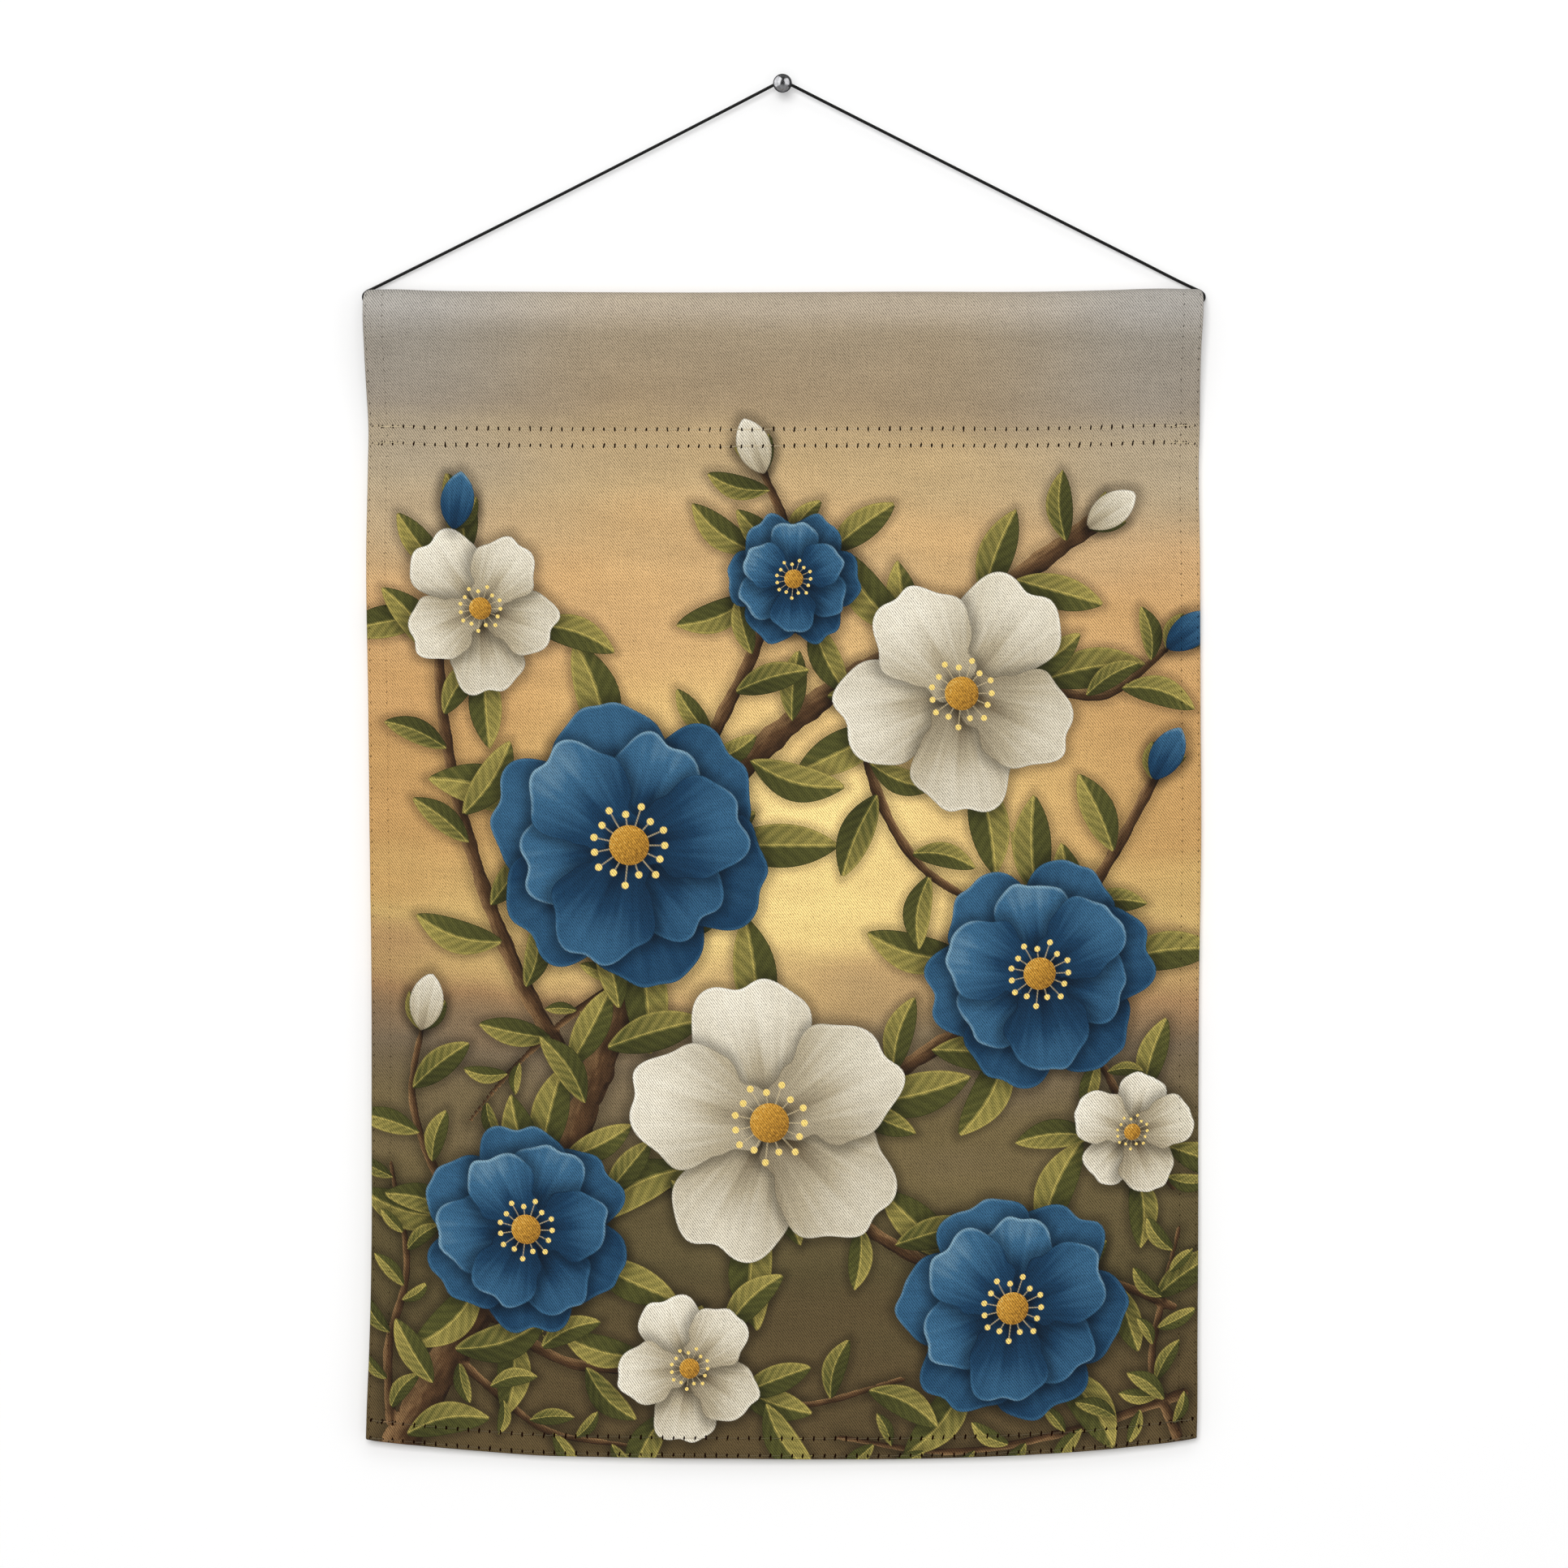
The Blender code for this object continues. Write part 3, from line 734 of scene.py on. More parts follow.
def store(mesh, name, values):
    """Writes one number, a vector or a colour for each vertex, by how many numbers there are for it."""
    kinds = {1: ("FLOAT", "value"), 3: ("FLOAT_VECTOR", "vector"), 4: ("FLOAT_COLOR", "color")}
    kind, field = kinds[values.size // len(mesh.vertices)]
    mesh.attributes.new(name, kind, "POINT").data.foreach_set(field, values.astype(np.float32).ravel())


def store_print(mesh, x, run, which=slice(None)):
    """Writes the print's four numbers for each layer, and its ground with a painted highlight along the top
    fold, at places on the flat cloth in metres.

    which picks a place for each vertex.
    """
    x, drop = x.ravel() / MM, run.ravel() / MM
    ground_and_fold_highlight = np.column_stack([ground_colour_and_fold_highlight(x, drop), np.ones(x.shape)])
    for name, values in {**painted(x, drop).layers, "ground_and_fold_highlight": ground_and_fold_highlight}.items():
        store(mesh, name, values[which])


def store_flat(mesh, x, run, third=None):
    """Writes each vertex's place on the flat cloth, in millimetres."""
    third = np.zeros(x.size) if third is None else third
    store(mesh, "flat", np.column_stack([x.ravel() / MM, run.ravel() / MM, third]))


def new_mesh(name, spots, faces):
    """A smooth mesh object from arrays of points and of faces with equally many corners."""
    mesh = bpy.data.meshes.new(name)
    count, corners = faces.shape
    mesh.vertices.add(spots.size // 3)
    mesh.vertices.foreach_set("co", spots.astype(np.float32).ravel())
    mesh.loops.add(count * corners)
    mesh.loops.foreach_set("vertex_index", faces.astype(np.int32).ravel())
    mesh.polygons.add(count)
    mesh.polygons.foreach_set("loop_start", np.arange(0, count * corners, corners, dtype=np.int32))
    mesh.update(calc_edges=True)
    mesh.validate()
    mesh.shade_smooth()
    piece = bpy.data.objects.new(name, mesh)
    bpy.context.scene.collection.objects.link(piece)
    return piece


def grid_faces(rows, per_row, closed=False):
    """Quads of a grid whose rows go down and whose columns go right, seen from its front."""
    index = np.arange(rows * per_row).reshape(rows, per_row)
    if closed:
        index = np.column_stack([index, index[:, 0]])
    return np.stack([index[:-1, :-1], index[1:, :-1], index[1:, 1:], index[:-1, 1:]], axis=-1).reshape(-1, 4)


def tube(middle, side, radius, sides):
    """Points of round tubes about lines, radius (over cos angle + beside sin angle) from them, and the
    angles: beside is square to a line and to side, and over is square to the line and beside."""
    ahead = unit(np.gradient(middle, axis=-2))
    beside = unit(np.cross(ahead, side))
    over = np.cross(beside, ahead)
    angle = np.arange(sides) * TURN / sides
    ring = np.cos(angle)[:, None] * over[..., None, :] + np.sin(angle)[:, None] * beside[..., None, :]
    return middle[..., None, :] + radius * ring, angle


def graded(low, high, coarse, marks):
    """Places from low to high a coarse step apart, closer round each mark: its place, reach and step."""
    fine = np.linspace(low, high, FINE_PLACES)
    rate = np.full(fine.shape, 1 / coarse)
    for place, reach, step in marks:
        rate = np.maximum(rate, (1 - smooth_step(reach * 0.7, reach * 1.3, np.abs(fine - place))) / step)
    total = np.concatenate([[0.0], np.cumsum((rate[1:] + rate[:-1]) / 2 * np.diff(fine))])
    return np.interp(np.linspace(0, total[-1], math.ceil(total[-1]) + 1), total, fine)


def cloth_lines():
    """x of the face's columns and run of its rows: close together round folds and seams, even between."""
    slack = TURN_SLACK * HEM_TURN / 2
    edge, low = EDGE + slack, BOTTOM_RUN + slack
    marks = [(edge, *HEM_LINES), (edge + SIDE_STRIP - RAW_INSET, *RAW_LINES)]
    marks += [(EDGE - row, *SIDE_LINES) for row in SIDE_ROWS]
    half = graded(0, edge + SIDE_STRIP, COARSE, marks)
    marks = [(0, *TOP_LINES), (low, *HEM_LINES), (low + BOTTOM_STRIP - RAW_INSET, *RAW_LINES)]
    marks += [(level, *SEAM_LINES) for level in SEAM_RUNS]
    return np.concatenate([-half[:0:-1], half]), graded(-BACK_RUN, low + BOTTOM_STRIP, COARSE, marks)


def build_cloth(name, x, run, spots, faces):
    """A piece of cloth on a grid, with the print's numbers and a map from 0 to 1 both ways, by x and run."""
    piece = new_mesh(name, spots, faces)
    u = (x - x.min()) / np.ptp(x) * (1 - 2 * MAP_MARGIN) + MAP_MARGIN
    v = 1 - MAP_MARGIN - (run - run.min()) / np.ptp(run) * (1 - 2 * MAP_MARGIN)
    places = np.column_stack([u.ravel(), v.ravel()])[faces.ravel()]
    piece.data.uv_layers.new(name="OFBake").uv.foreach_set("vector", places.astype(np.float32).ravel())
    store_flat(piece.data, x, run)
    store_print(piece.data, x, run)
    return piece


def build_face():
    """The printed side of the cloth, with its hems turned to the back."""
    x, run = np.meshgrid(*cloth_lines())
    return build_cloth("flag_cloth", x, run, cloth_surface(x, run), grid_faces(*x.shape))


def build_reverse():
    """The unprinted side of the cloth, just behind the face, with its border under the hems' strips."""
    reach = EDGE - REVERSE_BORDER
    down = graded(-BACK_RUN + REVERSE_BORDER, BOTTOM_RUN - REVERSE_BORDER, REVERSE_COARSE, [(0, *TOP_LINES)])
    x, run = np.meshgrid(np.linspace(-reach, reach, REVERSE_COLUMNS), down)
    spots = cloth_spot(x, run) - normals_of(cloth_spot, x, run) * REVERSE_DEPTH
    return build_cloth("flag_cloth_reverse", x, run, spots, grid_faces(*x.shape)[:, ::-1])


def stitch_rows():
    """Rows of stitches on the flat cloth, on its face and its back: way, level, ends, pitch, hole, how faint
    that is, and the thread's lightness and radius."""
    slack = TURN_SLACK * HEM_TURN
    sleeve = [run_at_drop(drop, front) for drop in SLEEVE_ROWS for front in (True, False)]
    bottom = [level for row in BOTTOM_ROWS for level in (BOTTOM_RUN - row, BOTTOM_RUN + slack + row)]
    across = (
        (sleeve, SLEEVE_END, (SLEEVE_PITCH, SLEEVE_HOLE, 0.0, SLEEVE_LIGHTNESS, THREAD_RADIUS)),
        (bottom, BOTTOM_END, (HEM_PITCH, BOTTOM_HOLE, 0.0, BOTTOM_LIGHTNESS, THREAD_RADIUS)),
    )
    rows = []
    for levels, end, looks in across:
        rows += [("across", level, end - EDGE, EDGE - end, *looks) for level in levels]
    low, high = SIDE_ENDS[0] - BACK_RUN, BOTTOM_RUN - SIDE_ENDS[1]
    for inset, side, *looks in SIDE_SEAMS:
        for x in (EDGE - inset, EDGE + slack + inset):
            rows.append(("down", side * x, low, high, HEM_PITCH, *looks, 0.0, SUNK_RADIUS))
    return rows


def stitches():
    """Stitches as starts and ends on the flat cloth with their thread's lightness and radius, and holes as
    places, sizes and faintness. A few short stitches go back over the ends of each row across."""
    rng = np.random.default_rng(11)
    threads, holes = [], []
    for way, level, low, high, pitch, hole, faintness, *looks in stitch_rows():
        hole = np.array(hole)
        places = np.arange(math.ceil(low / pitch), math.floor(high / pitch) + 1) * pitch
        places = places + rng.normal(0, PLACE_SPREAD, len(places))
        lift = level + rng.normal(0, LEVEL_SPREAD, len(places))
        sets = [(places, lift, hole * rng.uniform(*HOLE_SIZES, (len(places), 2)))]
        if way == "across":
            for end, side in ((low, 1), (high, -1)):
                steps = np.arange(TACKS) * pitch * TACK_PITCH
                tack = end + side * (TACK_START + steps + rng.normal(0, TACK_SPREAD, TACKS))
                off = level + rng.choice([-1, 1], TACKS) * rng.uniform(*TACK_OFFSETS, TACKS)
                sizes = hole * rng.uniform(*TACK_HOLE_SIZES, (TACKS, 2))
                sets.append((tack[::side], off[::side], sizes))
        for spots, levels, sizes in sets:
            slant = THREAD_SLANT if way == "across" else 0.0
            thread = np.stack([spots[:-1], levels[:-1] + slant, spots[1:], levels[1:] - slant], axis=1)
            place = np.stack([spots, levels], axis=1)
            if way == "down":
                thread, place = thread[:, [1, 0, 3, 2]], place[:, ::-1]
            threads.append(np.hstack([thread, np.tile(looks, (len(thread), 1))]))
            holes.append(np.hstack([place, sizes, np.full((len(sizes), 1), faintness)]))
    return np.concatenate(threads), np.concatenate(holes)


def build_threads(threads):
    """Sewing thread: a short arched tube for each stitch, whose ends dip into their needle holes.

    Height over the cloth at share t of a stitch, in radii: THREAD_RISE (1 - (2t - 1)^6) - THREAD_DIP.
    """
    count, per_stitch = len(threads), THREAD_STEPS * THREAD_SIDES
    starts, ends, radius = threads[:, :2], threads[:, 2:4], threads[:, 5][:, None, None]
    t = np.linspace(*THREAD_SHARE, THREAD_STEPS)[None, :, None]
    flat = starts[:, None, :] + (ends - starts)[:, None, :] * t
    x, run = flat[..., 0], flat[..., 1]
    normal = normals_of(cloth_surface, x, run)
    middle = cloth_surface(x, run) + normal * radius * (THREAD_RISE * (1 - (2 * t - 1) ** 6) - THREAD_DIP)
    spots, angle = tube(middle, normal, radius[..., None], THREAD_SIDES)
    faces = grid_faces(THREAD_STEPS, THREAD_SIDES, closed=True)
    faces = faces + (np.arange(count) * per_stitch)[:, None, None]
    piece = new_mesh("sewing_thread", spots, faces.reshape(-1, 4))
    which = np.repeat(np.arange(count), per_stitch)
    store_print(piece.data, *((starts + ends) / 2).T, which)
    x, run = np.repeat(x, THREAD_SIDES), np.repeat(run, THREAD_SIDES)
    store_flat(piece.data, x, run, np.resize(angle, x.size))
    store(piece.data, "lightness", threads[which, 4])
    return piece


def build_hole_shades(holes):
    """Needle holes: slits of painted shade just over the cloth, each an uneven, slightly leaning oval."""
    rng = np.random.default_rng(5)
    angle = np.arange(HOLE_CORNERS) * TURN / HOLE_CORNERS
    uneven = 1 + rng.uniform(-HOLE_UNEVEN, HOLE_UNEVEN, (len(holes), HOLE_CORNERS))
    lean = rng.uniform(*HOLE_LEAN, len(holes))[:, None]
    down = holes[:, 3:4] / 2 * np.sin(angle) * uneven
    across = holes[:, 2:3] / 2 * np.cos(angle) * uneven + lean * down
    x, run = holes[:, 0:1] + across, holes[:, 1:2] + down
    spots = cloth_surface(x, run) + normals_of(cloth_surface, x, run) * HOLE_LIFT
    piece = new_mesh("needle_hole_shade", spots, np.arange(x.size).reshape(x.shape))
    which = np.repeat(np.arange(len(holes)), HOLE_CORNERS)
    store_print(piece.data, holes[:, 0], holes[:, 1], which)
    store_flat(piece.data, x, run)
    store(piece.data, "faintness", holes[which, 4])
    return piece


def build_cord():
    """The braided cord: one tube along its route, that route's points, and its length."""
    route = np.array(CORD_ROUTE)
    line = np.concatenate([smooth_line(route, np.arange(0, along(route)[-1], CORD_STEP)), route[-1:]])
    length = along(line)
    # The route lies almost in the wall's plane, so the wall's direction is never along it.
    spots, angle = tube(line, (0.0, 1.0, 0.0), CORD_RADIUS, CORD_SIDES)
    piece = new_mesh("cord", spots, grid_faces(len(line), CORD_SIDES, closed=True))
    store_flat(piece.data, np.repeat(length, CORD_SIDES), np.tile(angle, len(line)) * MM)
    return piece, line, float(length[-1])


def build_pin():
    """The pin, turned about its own axis: radius = R sin(angle) on the ball, then the straight shank."""
    neck = math.asin(SHANK_RADIUS / BALL_RADIUS)
    centre = SHANK_LENGTH + BALL_RADIUS * math.cos(neck)
    angle = np.linspace(POLE_ANGLE, math.pi - neck, BALL_STEPS)
    shank = [SHANK_RADIUS, SHANK_RADIUS, POLE_RADIUS]
    radius = np.concatenate([[POLE_RADIUS], BALL_RADIUS * np.sin(angle), shank])
    ball = centre + BALL_RADIUS * np.cos(angle)
    height = np.concatenate([[centre + BALL_RADIUS], ball, [SHANK_LENGTH - NECK_LENGTH, 0.0, 0.0]])
    turn = np.arange(PIN_STEPS) * TURN / PIN_STEPS
    y = -np.repeat(height[:, None], PIN_STEPS, axis=1)
    spots = np.stack([radius[:, None] * np.cos(turn), y, radius[:, None] * np.sin(turn)], axis=-1)
    return new_mesh("pin", spots, grid_faces(len(radius), PIN_STEPS, closed=True))


# Materials


def sign(operation):
    """A sign or call on a Number, as a method that adds a math node."""
    return lambda number, *others: number.nodes.math(operation, number, *others)


class Number:
    """A number in a shader. Each sign or call on it adds a node and gives that node's number."""

    def __init__(self, nodes, socket):
        self.nodes, self.socket = nodes, socket

    __add__, __sub__, __mul__ = sign("ADD"), sign("SUBTRACT"), sign("MULTIPLY")
    __lt__, __gt__, __abs__ = sign("LESS_THAN"), sign("GREATER_THAN"), sign("ABSOLUTE")
    sine, root, rounded = sign("SINE"), sign("SQRT"), sign("ROUND")
    power, larger, angle_over = sign("POWER"), sign("MAXIMUM"), sign("ARCTAN2")

    def __rsub__(self, other):
        return self.nodes.math("SUBTRACT", other, self)

    def step(self, low, high, bottom=0.0, top=1.0):
        """A soft S from bottom at low to top at high."""
        inputs = {"Value": self, "From Min": low, "From Max": high, "To Min": bottom, "To Max": top}
        node = self.nodes.add("ShaderNodeMapRange", inputs, interpolation_type="SMOOTHSTEP")
        return Number(self.nodes, node.outputs[0])


class Nodes:
    """Short calls that add nodes to a tree. A plain value, a socket or a Number may fill each input."""

    def __init__(self, tree):
        self.tree = tree

    def fill(self, node, inputs):
        for key, value in inputs.items():
            value = value.socket if isinstance(value, Number) else value
            if isinstance(value, bpy.types.NodeSocket):
                self.tree.links.new(value, node.inputs[key])
            else:
                node.inputs[key].default_value = value

    def add(self, kind, inputs=(), **settings):
        node = self.tree.nodes.new(kind)
        for name, value in settings.items():
            setattr(node, name, value)
        self.fill(node, dict(inputs))
        return node

    def math(self, operation, *values):
        return Number(self, self.add("ShaderNodeMath", enumerate(values), operation=operation).outputs[0])

    def split(self, vector):
        return [Number(self, socket) for socket in self.add("ShaderNodeSeparateXYZ", {0: vector}).outputs]

    def mix(self, share, first, second, kind="RGBA", blend="MIX"):
        """first where share is 0 and second where it is 1."""
        place, output = {"FLOAT": (2, 0), "VECTOR": (4, 1), "RGBA": (6, 2)}[kind]
        inputs = {0: share, place: first, place + 1: second}
        return self.add("ShaderNodeMix", inputs, data_type=kind, blend_type=blend).outputs[output]

    def ramp(self, value, stops):
        """The colour that a table of stops gives for a tone."""
        node = self.add("ShaderNodeValToRGB", {"Fac": value})
        elements = node.color_ramp.elements
        while len(elements) < len(stops):
            elements.new(0.5)
        for element, (place, *colour) in zip(elements, stops):
            element.position = place
            element.color = seen(*colour)
        return node.outputs[0]

    def stored(self, name):
        """The outputs that give a stored attribute."""
        return self.add("ShaderNodeAttribute", attribute_name=name).outputs

    def flat(self):
        """The spot's place on the flat cloth."""
        return self.stored("flat")["Vector"]

    def dimmed(self, colour, factor):
        """A colour times a number."""
        grey = self.add("ShaderNodeCombineColor", {0: factor, 1: factor, 2: factor}).outputs[0]
        return self.mix(1.0, colour, grey, blend="MULTIPLY")

    def noise(self, vector, scale, detail=2.0, roughness=0.5):
        inputs = {"Vector": vector, "Scale": scale, "Detail": detail, "Roughness": roughness}
        return Number(self, self.add("ShaderNodeTexNoise", inputs).outputs["Fac"])

    def stretched_noise(self, vector, scales, detail=2.0):
        """Noise whose grain is 1 / scale long each way."""
        stretched = self.add("ShaderNodeVectorMath", {0: vector, 1: scales}, operation="MULTIPLY").outputs[0]
        return self.noise(stretched, 1.0, detail)

    def bump(self, height, distance, strength):
        inputs = {"Height": height, "Distance": distance, "Strength": strength}
        return self.add("ShaderNodeBump", inputs).outputs[0]


# Colours by tone, as seen on a screen: tone, red, green, blue
RAMPS = {
    "twig": ((0.0, 36, 26, 20), (0.5, 84, 61, 41), (1.0, 146, 114, 78)),
    "leaf": ((0.0, 32, 34, 20), (0.5, 80, 80, 42), (1.0, 172, 156, 84)),
    "blue": ((0.0, 12, 24, 38), (0.45, 30, 60, 86), (0.75, 58, 98, 128), (1.0, 128, 162, 180)),
    "white": ((0.0, 98, 84, 62), (0.4, 172, 160, 134), (0.75, 218, 210, 190), (1.0, 242, 236, 220)),
    "heart": ((0.0, 78, 46, 20), (0.5, 192, 140, 56), (1.0, 242, 216, 134)),
}


def twig_colour(nodes, fields, _):
    """Bark: lit on its upper side, streaked along its length."""
    _, across, length = nodes.split(fields)
    grain = nodes.add("ShaderNodeCombineXYZ", {0: length * 0.16, 1: across * 3.2}).outputs[0]
    return nodes.ramp(nodes.noise(grain, 1.0, 3.0) * 0.68 - across * 0.40 + 0.14, RAMPS["twig"])


def leaf_colour(nodes, fields, shade):
    """A leaf: one half light and one dark, slanting veins, a pale midrib and a dark rim."""
    distance, across, share = nodes.split(fields)
    side, lit = abs(across), across > 0.0
    veins = ((share - side * 1.25) * (TURN * 7.5)).sine()
    tone = share * 0.26 + lit * 0.30 + veins * 0.055 + shade + 0.23
    tone = tone + distance.step(-1.3, 0.0, 0.0, 0.22) * lit + side.step(0.022, 0.008, 0.0, 0.26)
    return nodes.dimmed(nodes.ramp(tone, RAMPS["leaf"]), distance.step(-0.5, -0.05, 1.0, 0.62))


def petal_colour(nodes, fields, light):
    """A petal: darker at its foot and down its middle, paler at its rim, with fine veins that fan out."""
    distance, across, share = nodes.split(fields)
    white = nodes.math("GREATER_THAN", light, (BLUE + WHITE) / 2 + 0.5)
    own = white * -WHITE + light - 0.5
    side = abs(across)
    fan = (across * (PETAL_SHAPE / 2)).angle_over(share + FAN_START)
    veins = (fan * 34.0).sine() + (fan * 61.0 + 2.0).sine()
    veins = veins * 0.032 * share.step(0.1, 0.5) * (1.2 - share)
    tone = share.step(0.05, 0.85, 0.27, 0.73) + own + veins - side.step(0.1, 1.1, 0.0, 0.12)
    tone = tone - side.step(0.30, 0.0, 0.0, 0.22) * share.step(0.95, 0.15)
    tone = tone + distance.step(-1.8, 0.0, 0.0, 0.20) * share.step(0.45, 0.9)
    colour = nodes.mix(white, nodes.ramp(tone, RAMPS["blue"]), nodes.ramp(tone, RAMPS["white"]))
    return nodes.dimmed(colour, distance.step(-0.55, -0.05, 1.0, 0.60))


def heart_colour(nodes, fields, _):
    """A blossom's heart: its golden, grainy colour."""
    _, right, up = nodes.split(fields)
    grain = nodes.noise(nodes.flat(), 0.9)
    return nodes.ramp((up - right) * 0.12 + grain * 0.75 + 0.02, RAMPS["heart"])


def stamens(nodes, fields):
    """How much a heart's stamens show: 1 on each of a ring of dots, half on the thread that carries it."""
    distance, right, up = nodes.split(fields)
    away = (right * right + up * up).root()
    turn = up.angle_over(right) * (STAMENS / TURN)
    cell = turn.rounded()
    past = away - ((cell * 2.7).sine() * 0.24 + 1.78)
    beside = abs((turn - cell) * (TURN / STAMENS) * away)
    reached = distance < HEART_REACH
    dot = (past * past + beside * beside).step(0.042, 0.022) * reached
    thread = beside.step(0.055, 0.025) * (past < 0.0) * reached
    return dot.larger(thread * 0.50), dot


def make_print_group():
    """The print's colour from its layers. Each shows inside its shapes and shades what is round them."""
    group = bpy.data.node_groups.new("floral print", "ShaderNodeTree")
    group.interface.new_socket("Color", in_out="OUTPUT", socket_type="NodeSocketColor")
    nodes = Nodes(group)
    shade = 1.0
    kinds = {}
    for name in LAYERS:
        kind = name.split("_")[0]
        outputs = nodes.stored(name)
        fields, fourth = outputs["Vector"], outputs["Alpha"]
        distance = nodes.split(fields)[0]
        inside = shown = distance < 0.0
        strength, spread = SHADOWS[kind]
        shade = nodes.mix(inside, distance.step(0.0, spread, 1 - strength, 1.0) * shade, 1.0, "FLOAT")
        if kind in kinds:
            shown, lower, lower_fourth = kinds[kind]
            shown = shown.larger(inside)
            fields = nodes.mix(inside, lower, fields, "VECTOR")
            fourth = nodes.mix(inside, lower_fourth, fourth, "FLOAT")
        kinds[kind] = (shown, fields, fourth)

    streaks = nodes.stretched_noise(nodes.flat(), (0.011, 0.085, 1.0), 4.0)
    # The ground's colours hold a painted highlight along the top fold.
    colour = nodes.dimmed(nodes.stored("ground_and_fold_highlight")["Color"], streaks * 0.34 + 0.83)
    paints = {"twig": twig_colour, "leaf": leaf_colour, "petal": petal_colour, "heart": heart_colour}
    for kind, paint in paints.items():
        shown, fields, fourth = kinds[kind]
        colour = nodes.mix(shown, colour, paint(nodes, fields, fourth))
    colour = nodes.dimmed(colour, shade)
    share, dot = stamens(nodes, fields)
    gold = nodes.mix(dot, seen(196, 178, 140), seen(238, 206, 118))
    nodes.add("NodeGroupOutput", {0: nodes.mix(share * (1.0 - shown), colour, gold)})
    return group


def new_material(name, colour, roughness):
    """A material, its Principled shader, and short calls for its nodes."""
    material = bpy.data.materials.new(name)
    material.use_nodes = True
    nodes = Nodes(material.node_tree)
    shader = material.node_tree.nodes["Principled BSDF"]
    nodes.fill(shader, {"Base Color": colour, "Roughness": roughness})
    return material, shader, nodes


def printed_colour(nodes, print_group):
    """The print's colour in another tree."""
    return nodes.add("ShaderNodeGroup", node_tree=print_group).outputs[0]


def weave(nodes, flat, x, run):
    """The weave's height in millimetres, and a tone near 1 from its ribs, its grain, long uneven yarns both
    ways and faint patches.

    Ribs are broad with thin grooves: (0.5 + 0.5 sin of the place across them)^0.85, pushed aside a little by
    the grain and the yarns.
    """
    grain = nodes.noise(flat, 1.9, 1.0)
    level = nodes.stretched_noise(flat, (0.11, 1.25, 1.0))
    upright = nodes.stretched_noise(flat, (1.35, 0.09, 1.0))
    patches = nodes.noise(flat, 0.05)
    slope = math.radians(TWILL_SLOPE)
    across = x * math.sin(slope) - run * math.cos(slope)
    for bend in (grain, level, upright):
        across = across + bend * 0.27
    rib = ((across * (TURN / TWILL_PITCH)).sine() * 0.5 + 0.5).power(0.85)
    tone = (1.0 - rib) * (grain * 1.8 + 0.1) * -0.88 + 0.92
    for noise, weight in ((grain, 0.30), (level, 0.30), (upright, 0.26), (patches, 0.16)):
        tone = tone + noise * weight
    return rib * 0.055 + grain * 0.06, tone


def make_cloth_material(name, colour, roughness, print_group, undyed=0.0, mirror=1.0):
    """Printed twill. Its back is mirrored and of undyed yarn, with the print showing through faintly."""
    material, shader, nodes = new_material(name, colour, roughness)
    flat = nodes.flat()
    x, run, _ = nodes.split(flat)
    colour = nodes.mix(undyed, printed_colour(nodes, print_group), seen(222, 214, 196))
    height, tone = weave(nodes, flat, x * mirror, run)
    nodes.fill(shader, {
        "Base Color": nodes.dimmed(colour, tone),
        "Normal": nodes.bump(height, MM, 0.7),
        "Sheen Weight": 0.10,
        "Specular IOR Level": 0.2,
    })
    return material


def make_thread_material(print_group):
    """Sewing thread, a little lighter than the print beside it, with the twist of its strands."""
    material, shader, nodes = new_material("sewing thread", (0.7, 0.6, 0.4, 1.0), 0.6)
    x, run, angle = nodes.split(nodes.flat())
    colour = printed_colour(nodes, print_group)
    colour = nodes.mix(nodes.stored("lightness")["Fac"], colour, seen(232, 214, 176))
    strand = ((x + run) * (TURN / 0.55) + angle).sine() * 0.5 + 0.5
    nodes.fill(shader, {
        "Base Color": nodes.dimmed(colour, strand * 0.30 + 0.78),
        "Normal": nodes.bump(strand, 0.00004, 0.6),
        "Specular IOR Level": 0.2,
    })
    return material


def make_cord_material():
    """Black braided cord: two sets of strands that wind opposite ways and cross."""
    material, shader, nodes = new_material("black cord", seen(14, 14, 14), 0.5)
    length, angle, _ = nodes.split(nodes.flat())
    wind, around = length * (TURN / 1.6), angle * 3.0
    braid = (around + wind).sine() * (around - wind).sine() * 0.5 + 0.5
    nodes.fill(shader, {
        "Base Color": nodes.mix(braid, seen(4, 4, 5), seen(28, 27, 27)),
        "Normal": nodes.bump(braid, 0.0001, 0.6),
        "Specular IOR Level": 0.22,
    })
    return material


def make_hole_shade_material(print_group):
    """Painted shade for a needle hole: near black, and for a faint hole the print beside it darkened."""
    # Both colours are painted shade: the inside of the hole, and the cloth drawn in round a faint one.
    dark = seen(28, 16, 11)
    material, shader, nodes = new_material("needle hole", dark, 0.9)
    shade = nodes.dimmed(printed_colour(nodes, print_group), 0.62)
    colour = nodes.mix(nodes.stored("faintness")["Fac"], dark, shade)
    nodes.fill(shader, {"Base Color": colour, "Specular IOR Level": 0.0})
    return material


def make_steel_material():
    """Polished dark steel, a little cloudy, with a few faint stains."""
    material, shader, nodes = new_material("polished dark steel", (0.33, 0.33, 0.34, 1.0), 0.14)
    stains = nodes.noise(nodes.add("ShaderNodeTexCoord").outputs["Object"], 620.0, 4.0, 0.6)
    nodes.fill(shader, {
        "Roughness": stains * 0.16 + 0.14,
        "Base Color": nodes.mix(stains.step(0.35, 0.75), (0.42, 0.42, 0.43, 1), (0.24, 0.24, 0.25, 1)),
        "Metallic": 1.0,
    })
    return material


# Stage


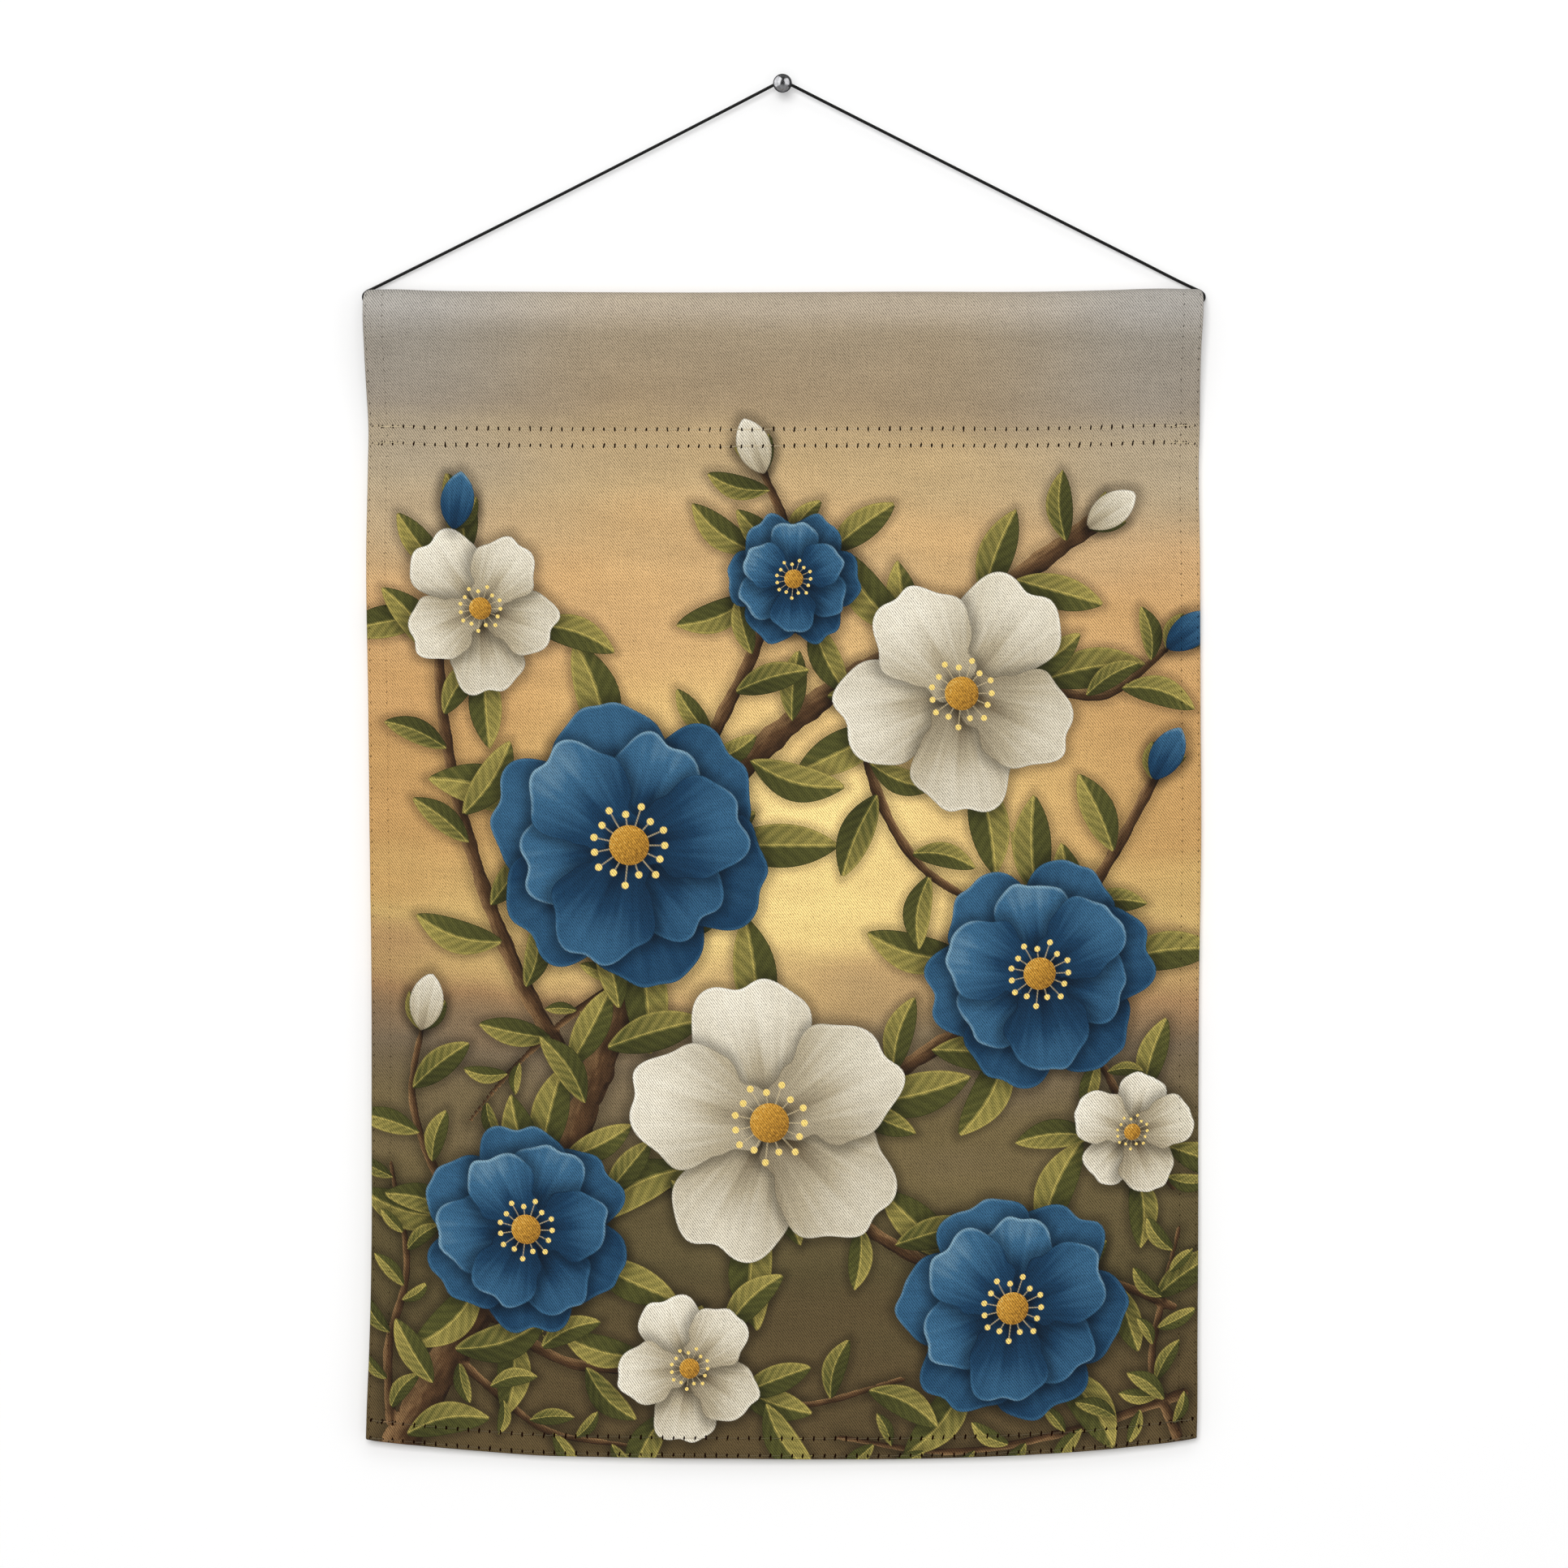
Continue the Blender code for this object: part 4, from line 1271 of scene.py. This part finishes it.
def build_camera():
    """A camera straight in front, whose frame is the photograph's."""
    data = bpy.data.cameras.new("camera")
    data.sensor_width = 36
    data.lens = data.sensor_width * (CAMERA_DISTANCE + FLAG_PLANE) / (PHOTO * PIXEL)
    data.clip_end = 20
    camera = bpy.data.objects.new("camera", data)
    x = (PHOTO / 2 - BALL_PIXEL[0]) * PIXEL
    z = (BALL_PIXEL[1] - PHOTO / 2) * PIXEL
    camera.location = (x, -CAMERA_DISTANCE, z)
    camera.rotation_euler = (math.radians(90), 0, 0)
    bpy.context.scene.collection.objects.link(camera)
    bpy.context.scene.camera = camera


def hide_from(thing, *rays):
    """Hides a thing from kinds of rays."""
    for ray in rays:
        setattr(thing, "visible_" + ray, False)


def build_wall():
    """A plain white wall behind the pin, seen from its front only."""
    corners = np.insert(SQUARE * WALL_REACH, 1, WALL_PLACE, axis=1)
    wall = new_mesh("wall", corners, np.arange(4)[None])
    material, shader, nodes = new_material("white wall", (0.98, 0.98, 0.98, 1.0), 1.0)
    nodes.fill(shader, {"Specular IOR Level": 0.0})
    clear = nodes.add("ShaderNodeBsdfTransparent").outputs[0]
    back = nodes.add("ShaderNodeNewGeometry").outputs["Backfacing"]
    share = nodes.add("ShaderNodeMixShader", {0: back, 1: shader.outputs[0], 2: clear}).outputs[0]
    nodes.fill(nodes.tree.nodes["Material Output"], {"Surface": share})
    wall.data.materials.append(material)
    hide_from(wall, "shadow", "diffuse", "glossy")


def add_light(name, direction, distance, size, share):
    """A soft rectangular light that lights the wall by a share of white, hidden from the camera and from
    glossy rays. A soft rectangular light that lights the wall by a share of white, and that metal shows a
    board for.
    """
    heading = unit(np.array(direction))
    data = bpy.data.lights.new(name, "AREA")
    data.shape = "RECTANGLE"
    data.size, data.size_y = size
    # A small flat source of power P at distance d lights a white wall by P cos / (pi d)^2.
    data.energy = share * (math.pi * distance) ** 2 / abs(heading[1])
    light = bpy.data.objects.new(name, data)
    light.location = np.array(MIDDLE) + heading * distance
    tilt = math.atan2(math.hypot(heading[0], heading[1]), heading[2])
    light.rotation_euler = (tilt, 0, math.atan2(heading[0], -heading[1]))
    hide_from(light, "camera", "glossy")
    bpy.context.scene.collection.objects.link(light)


def add_board(name, direction, distance, size, glow):
    """A glowing board that faces the ball, seen in polished metal and by nothing else."""
    heading = unit(np.array(direction))
    right = unit(np.cross(heading, (0.0, 0.0, 1.0)))
    up = np.cross(right, heading)
    spots = heading * distance + SQUARE / 2 * np.array(size) @ np.stack([right, up])
    board = new_mesh(name, spots, np.arange(4)[None])
    material, shader, nodes = new_material(name, (0.0, 0.0, 0.0, 1.0), 1.0)
    white = (1, 1, 1, 1)
    nodes.fill(shader, {"Specular IOR Level": 0.0, "Emission Color": white, "Emission Strength": glow})
    material.cycles.emission_sampling = "NONE"
    board.data.materials.append(material)
    hide_from(board, "camera", "diffuse", "shadow", "transmission")


def build_lights():
    """The lights, the boards, and a sky that is white to the camera, grey to cloth and dark to metal."""
    for row in LIGHTS:
        add_light(*row)
    for row in BOARDS:
        add_board(*row)
    world = bpy.data.worlds.new("studio")
    world.use_nodes = True
    bpy.context.scene.world = world
    nodes = Nodes(world.node_tree)
    path = nodes.add("ShaderNodeLightPath").outputs
    level = nodes.mix(path["Is Glossy Ray"], SKY_LIGHT, SKY_REFLECTED, "FLOAT")
    level = nodes.mix(path["Is Camera Ray"], level, 1.0, "FLOAT")
    nodes.fill(world.node_tree.nodes["Background"], {"Strength": level, "Color": (1, 1, 1, 1)})
    bpy.context.scene.view_settings.view_transform = "Standard"


def main():
    build_camera()
    cord, cord_line, cord_length = build_cord()
    cord.data.materials.append(make_cord_material())
    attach(cord, "root")
    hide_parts("hanging_cord")

    print_group = make_print_group()
    face, reverse = build_face(), build_reverse()
    threads, slits = stitches()
    # The needle holes are drawn as slits of painted shade.
    thread, holes = build_threads(threads), build_hole_shades(slits)
    materials = (
        make_cloth_material("printed twill", (0.6, 0.45, 0.25, 1.0), 0.82, print_group),
        make_cloth_material("reverse of the twill", (0.7, 0.66, 0.58, 1.0), 0.85, print_group, 0.60, -1.0),
        make_thread_material(print_group),
        make_hole_shade_material(print_group),
    )
    for piece, material in zip((face, reverse, thread, holes), materials):
        piece.data.materials.append(material)
        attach(piece, "root")
    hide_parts("flag_panel", "pole_sleeve")
    cut_length = BACK_RUN + BOTTOM_RUN + BOTTOM_STRIP

    pin = build_pin()
    pin.data.materials.append(make_steel_material())
    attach(pin, "root")
    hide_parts("wall_pin")

    build_wall()
    build_lights()


main()
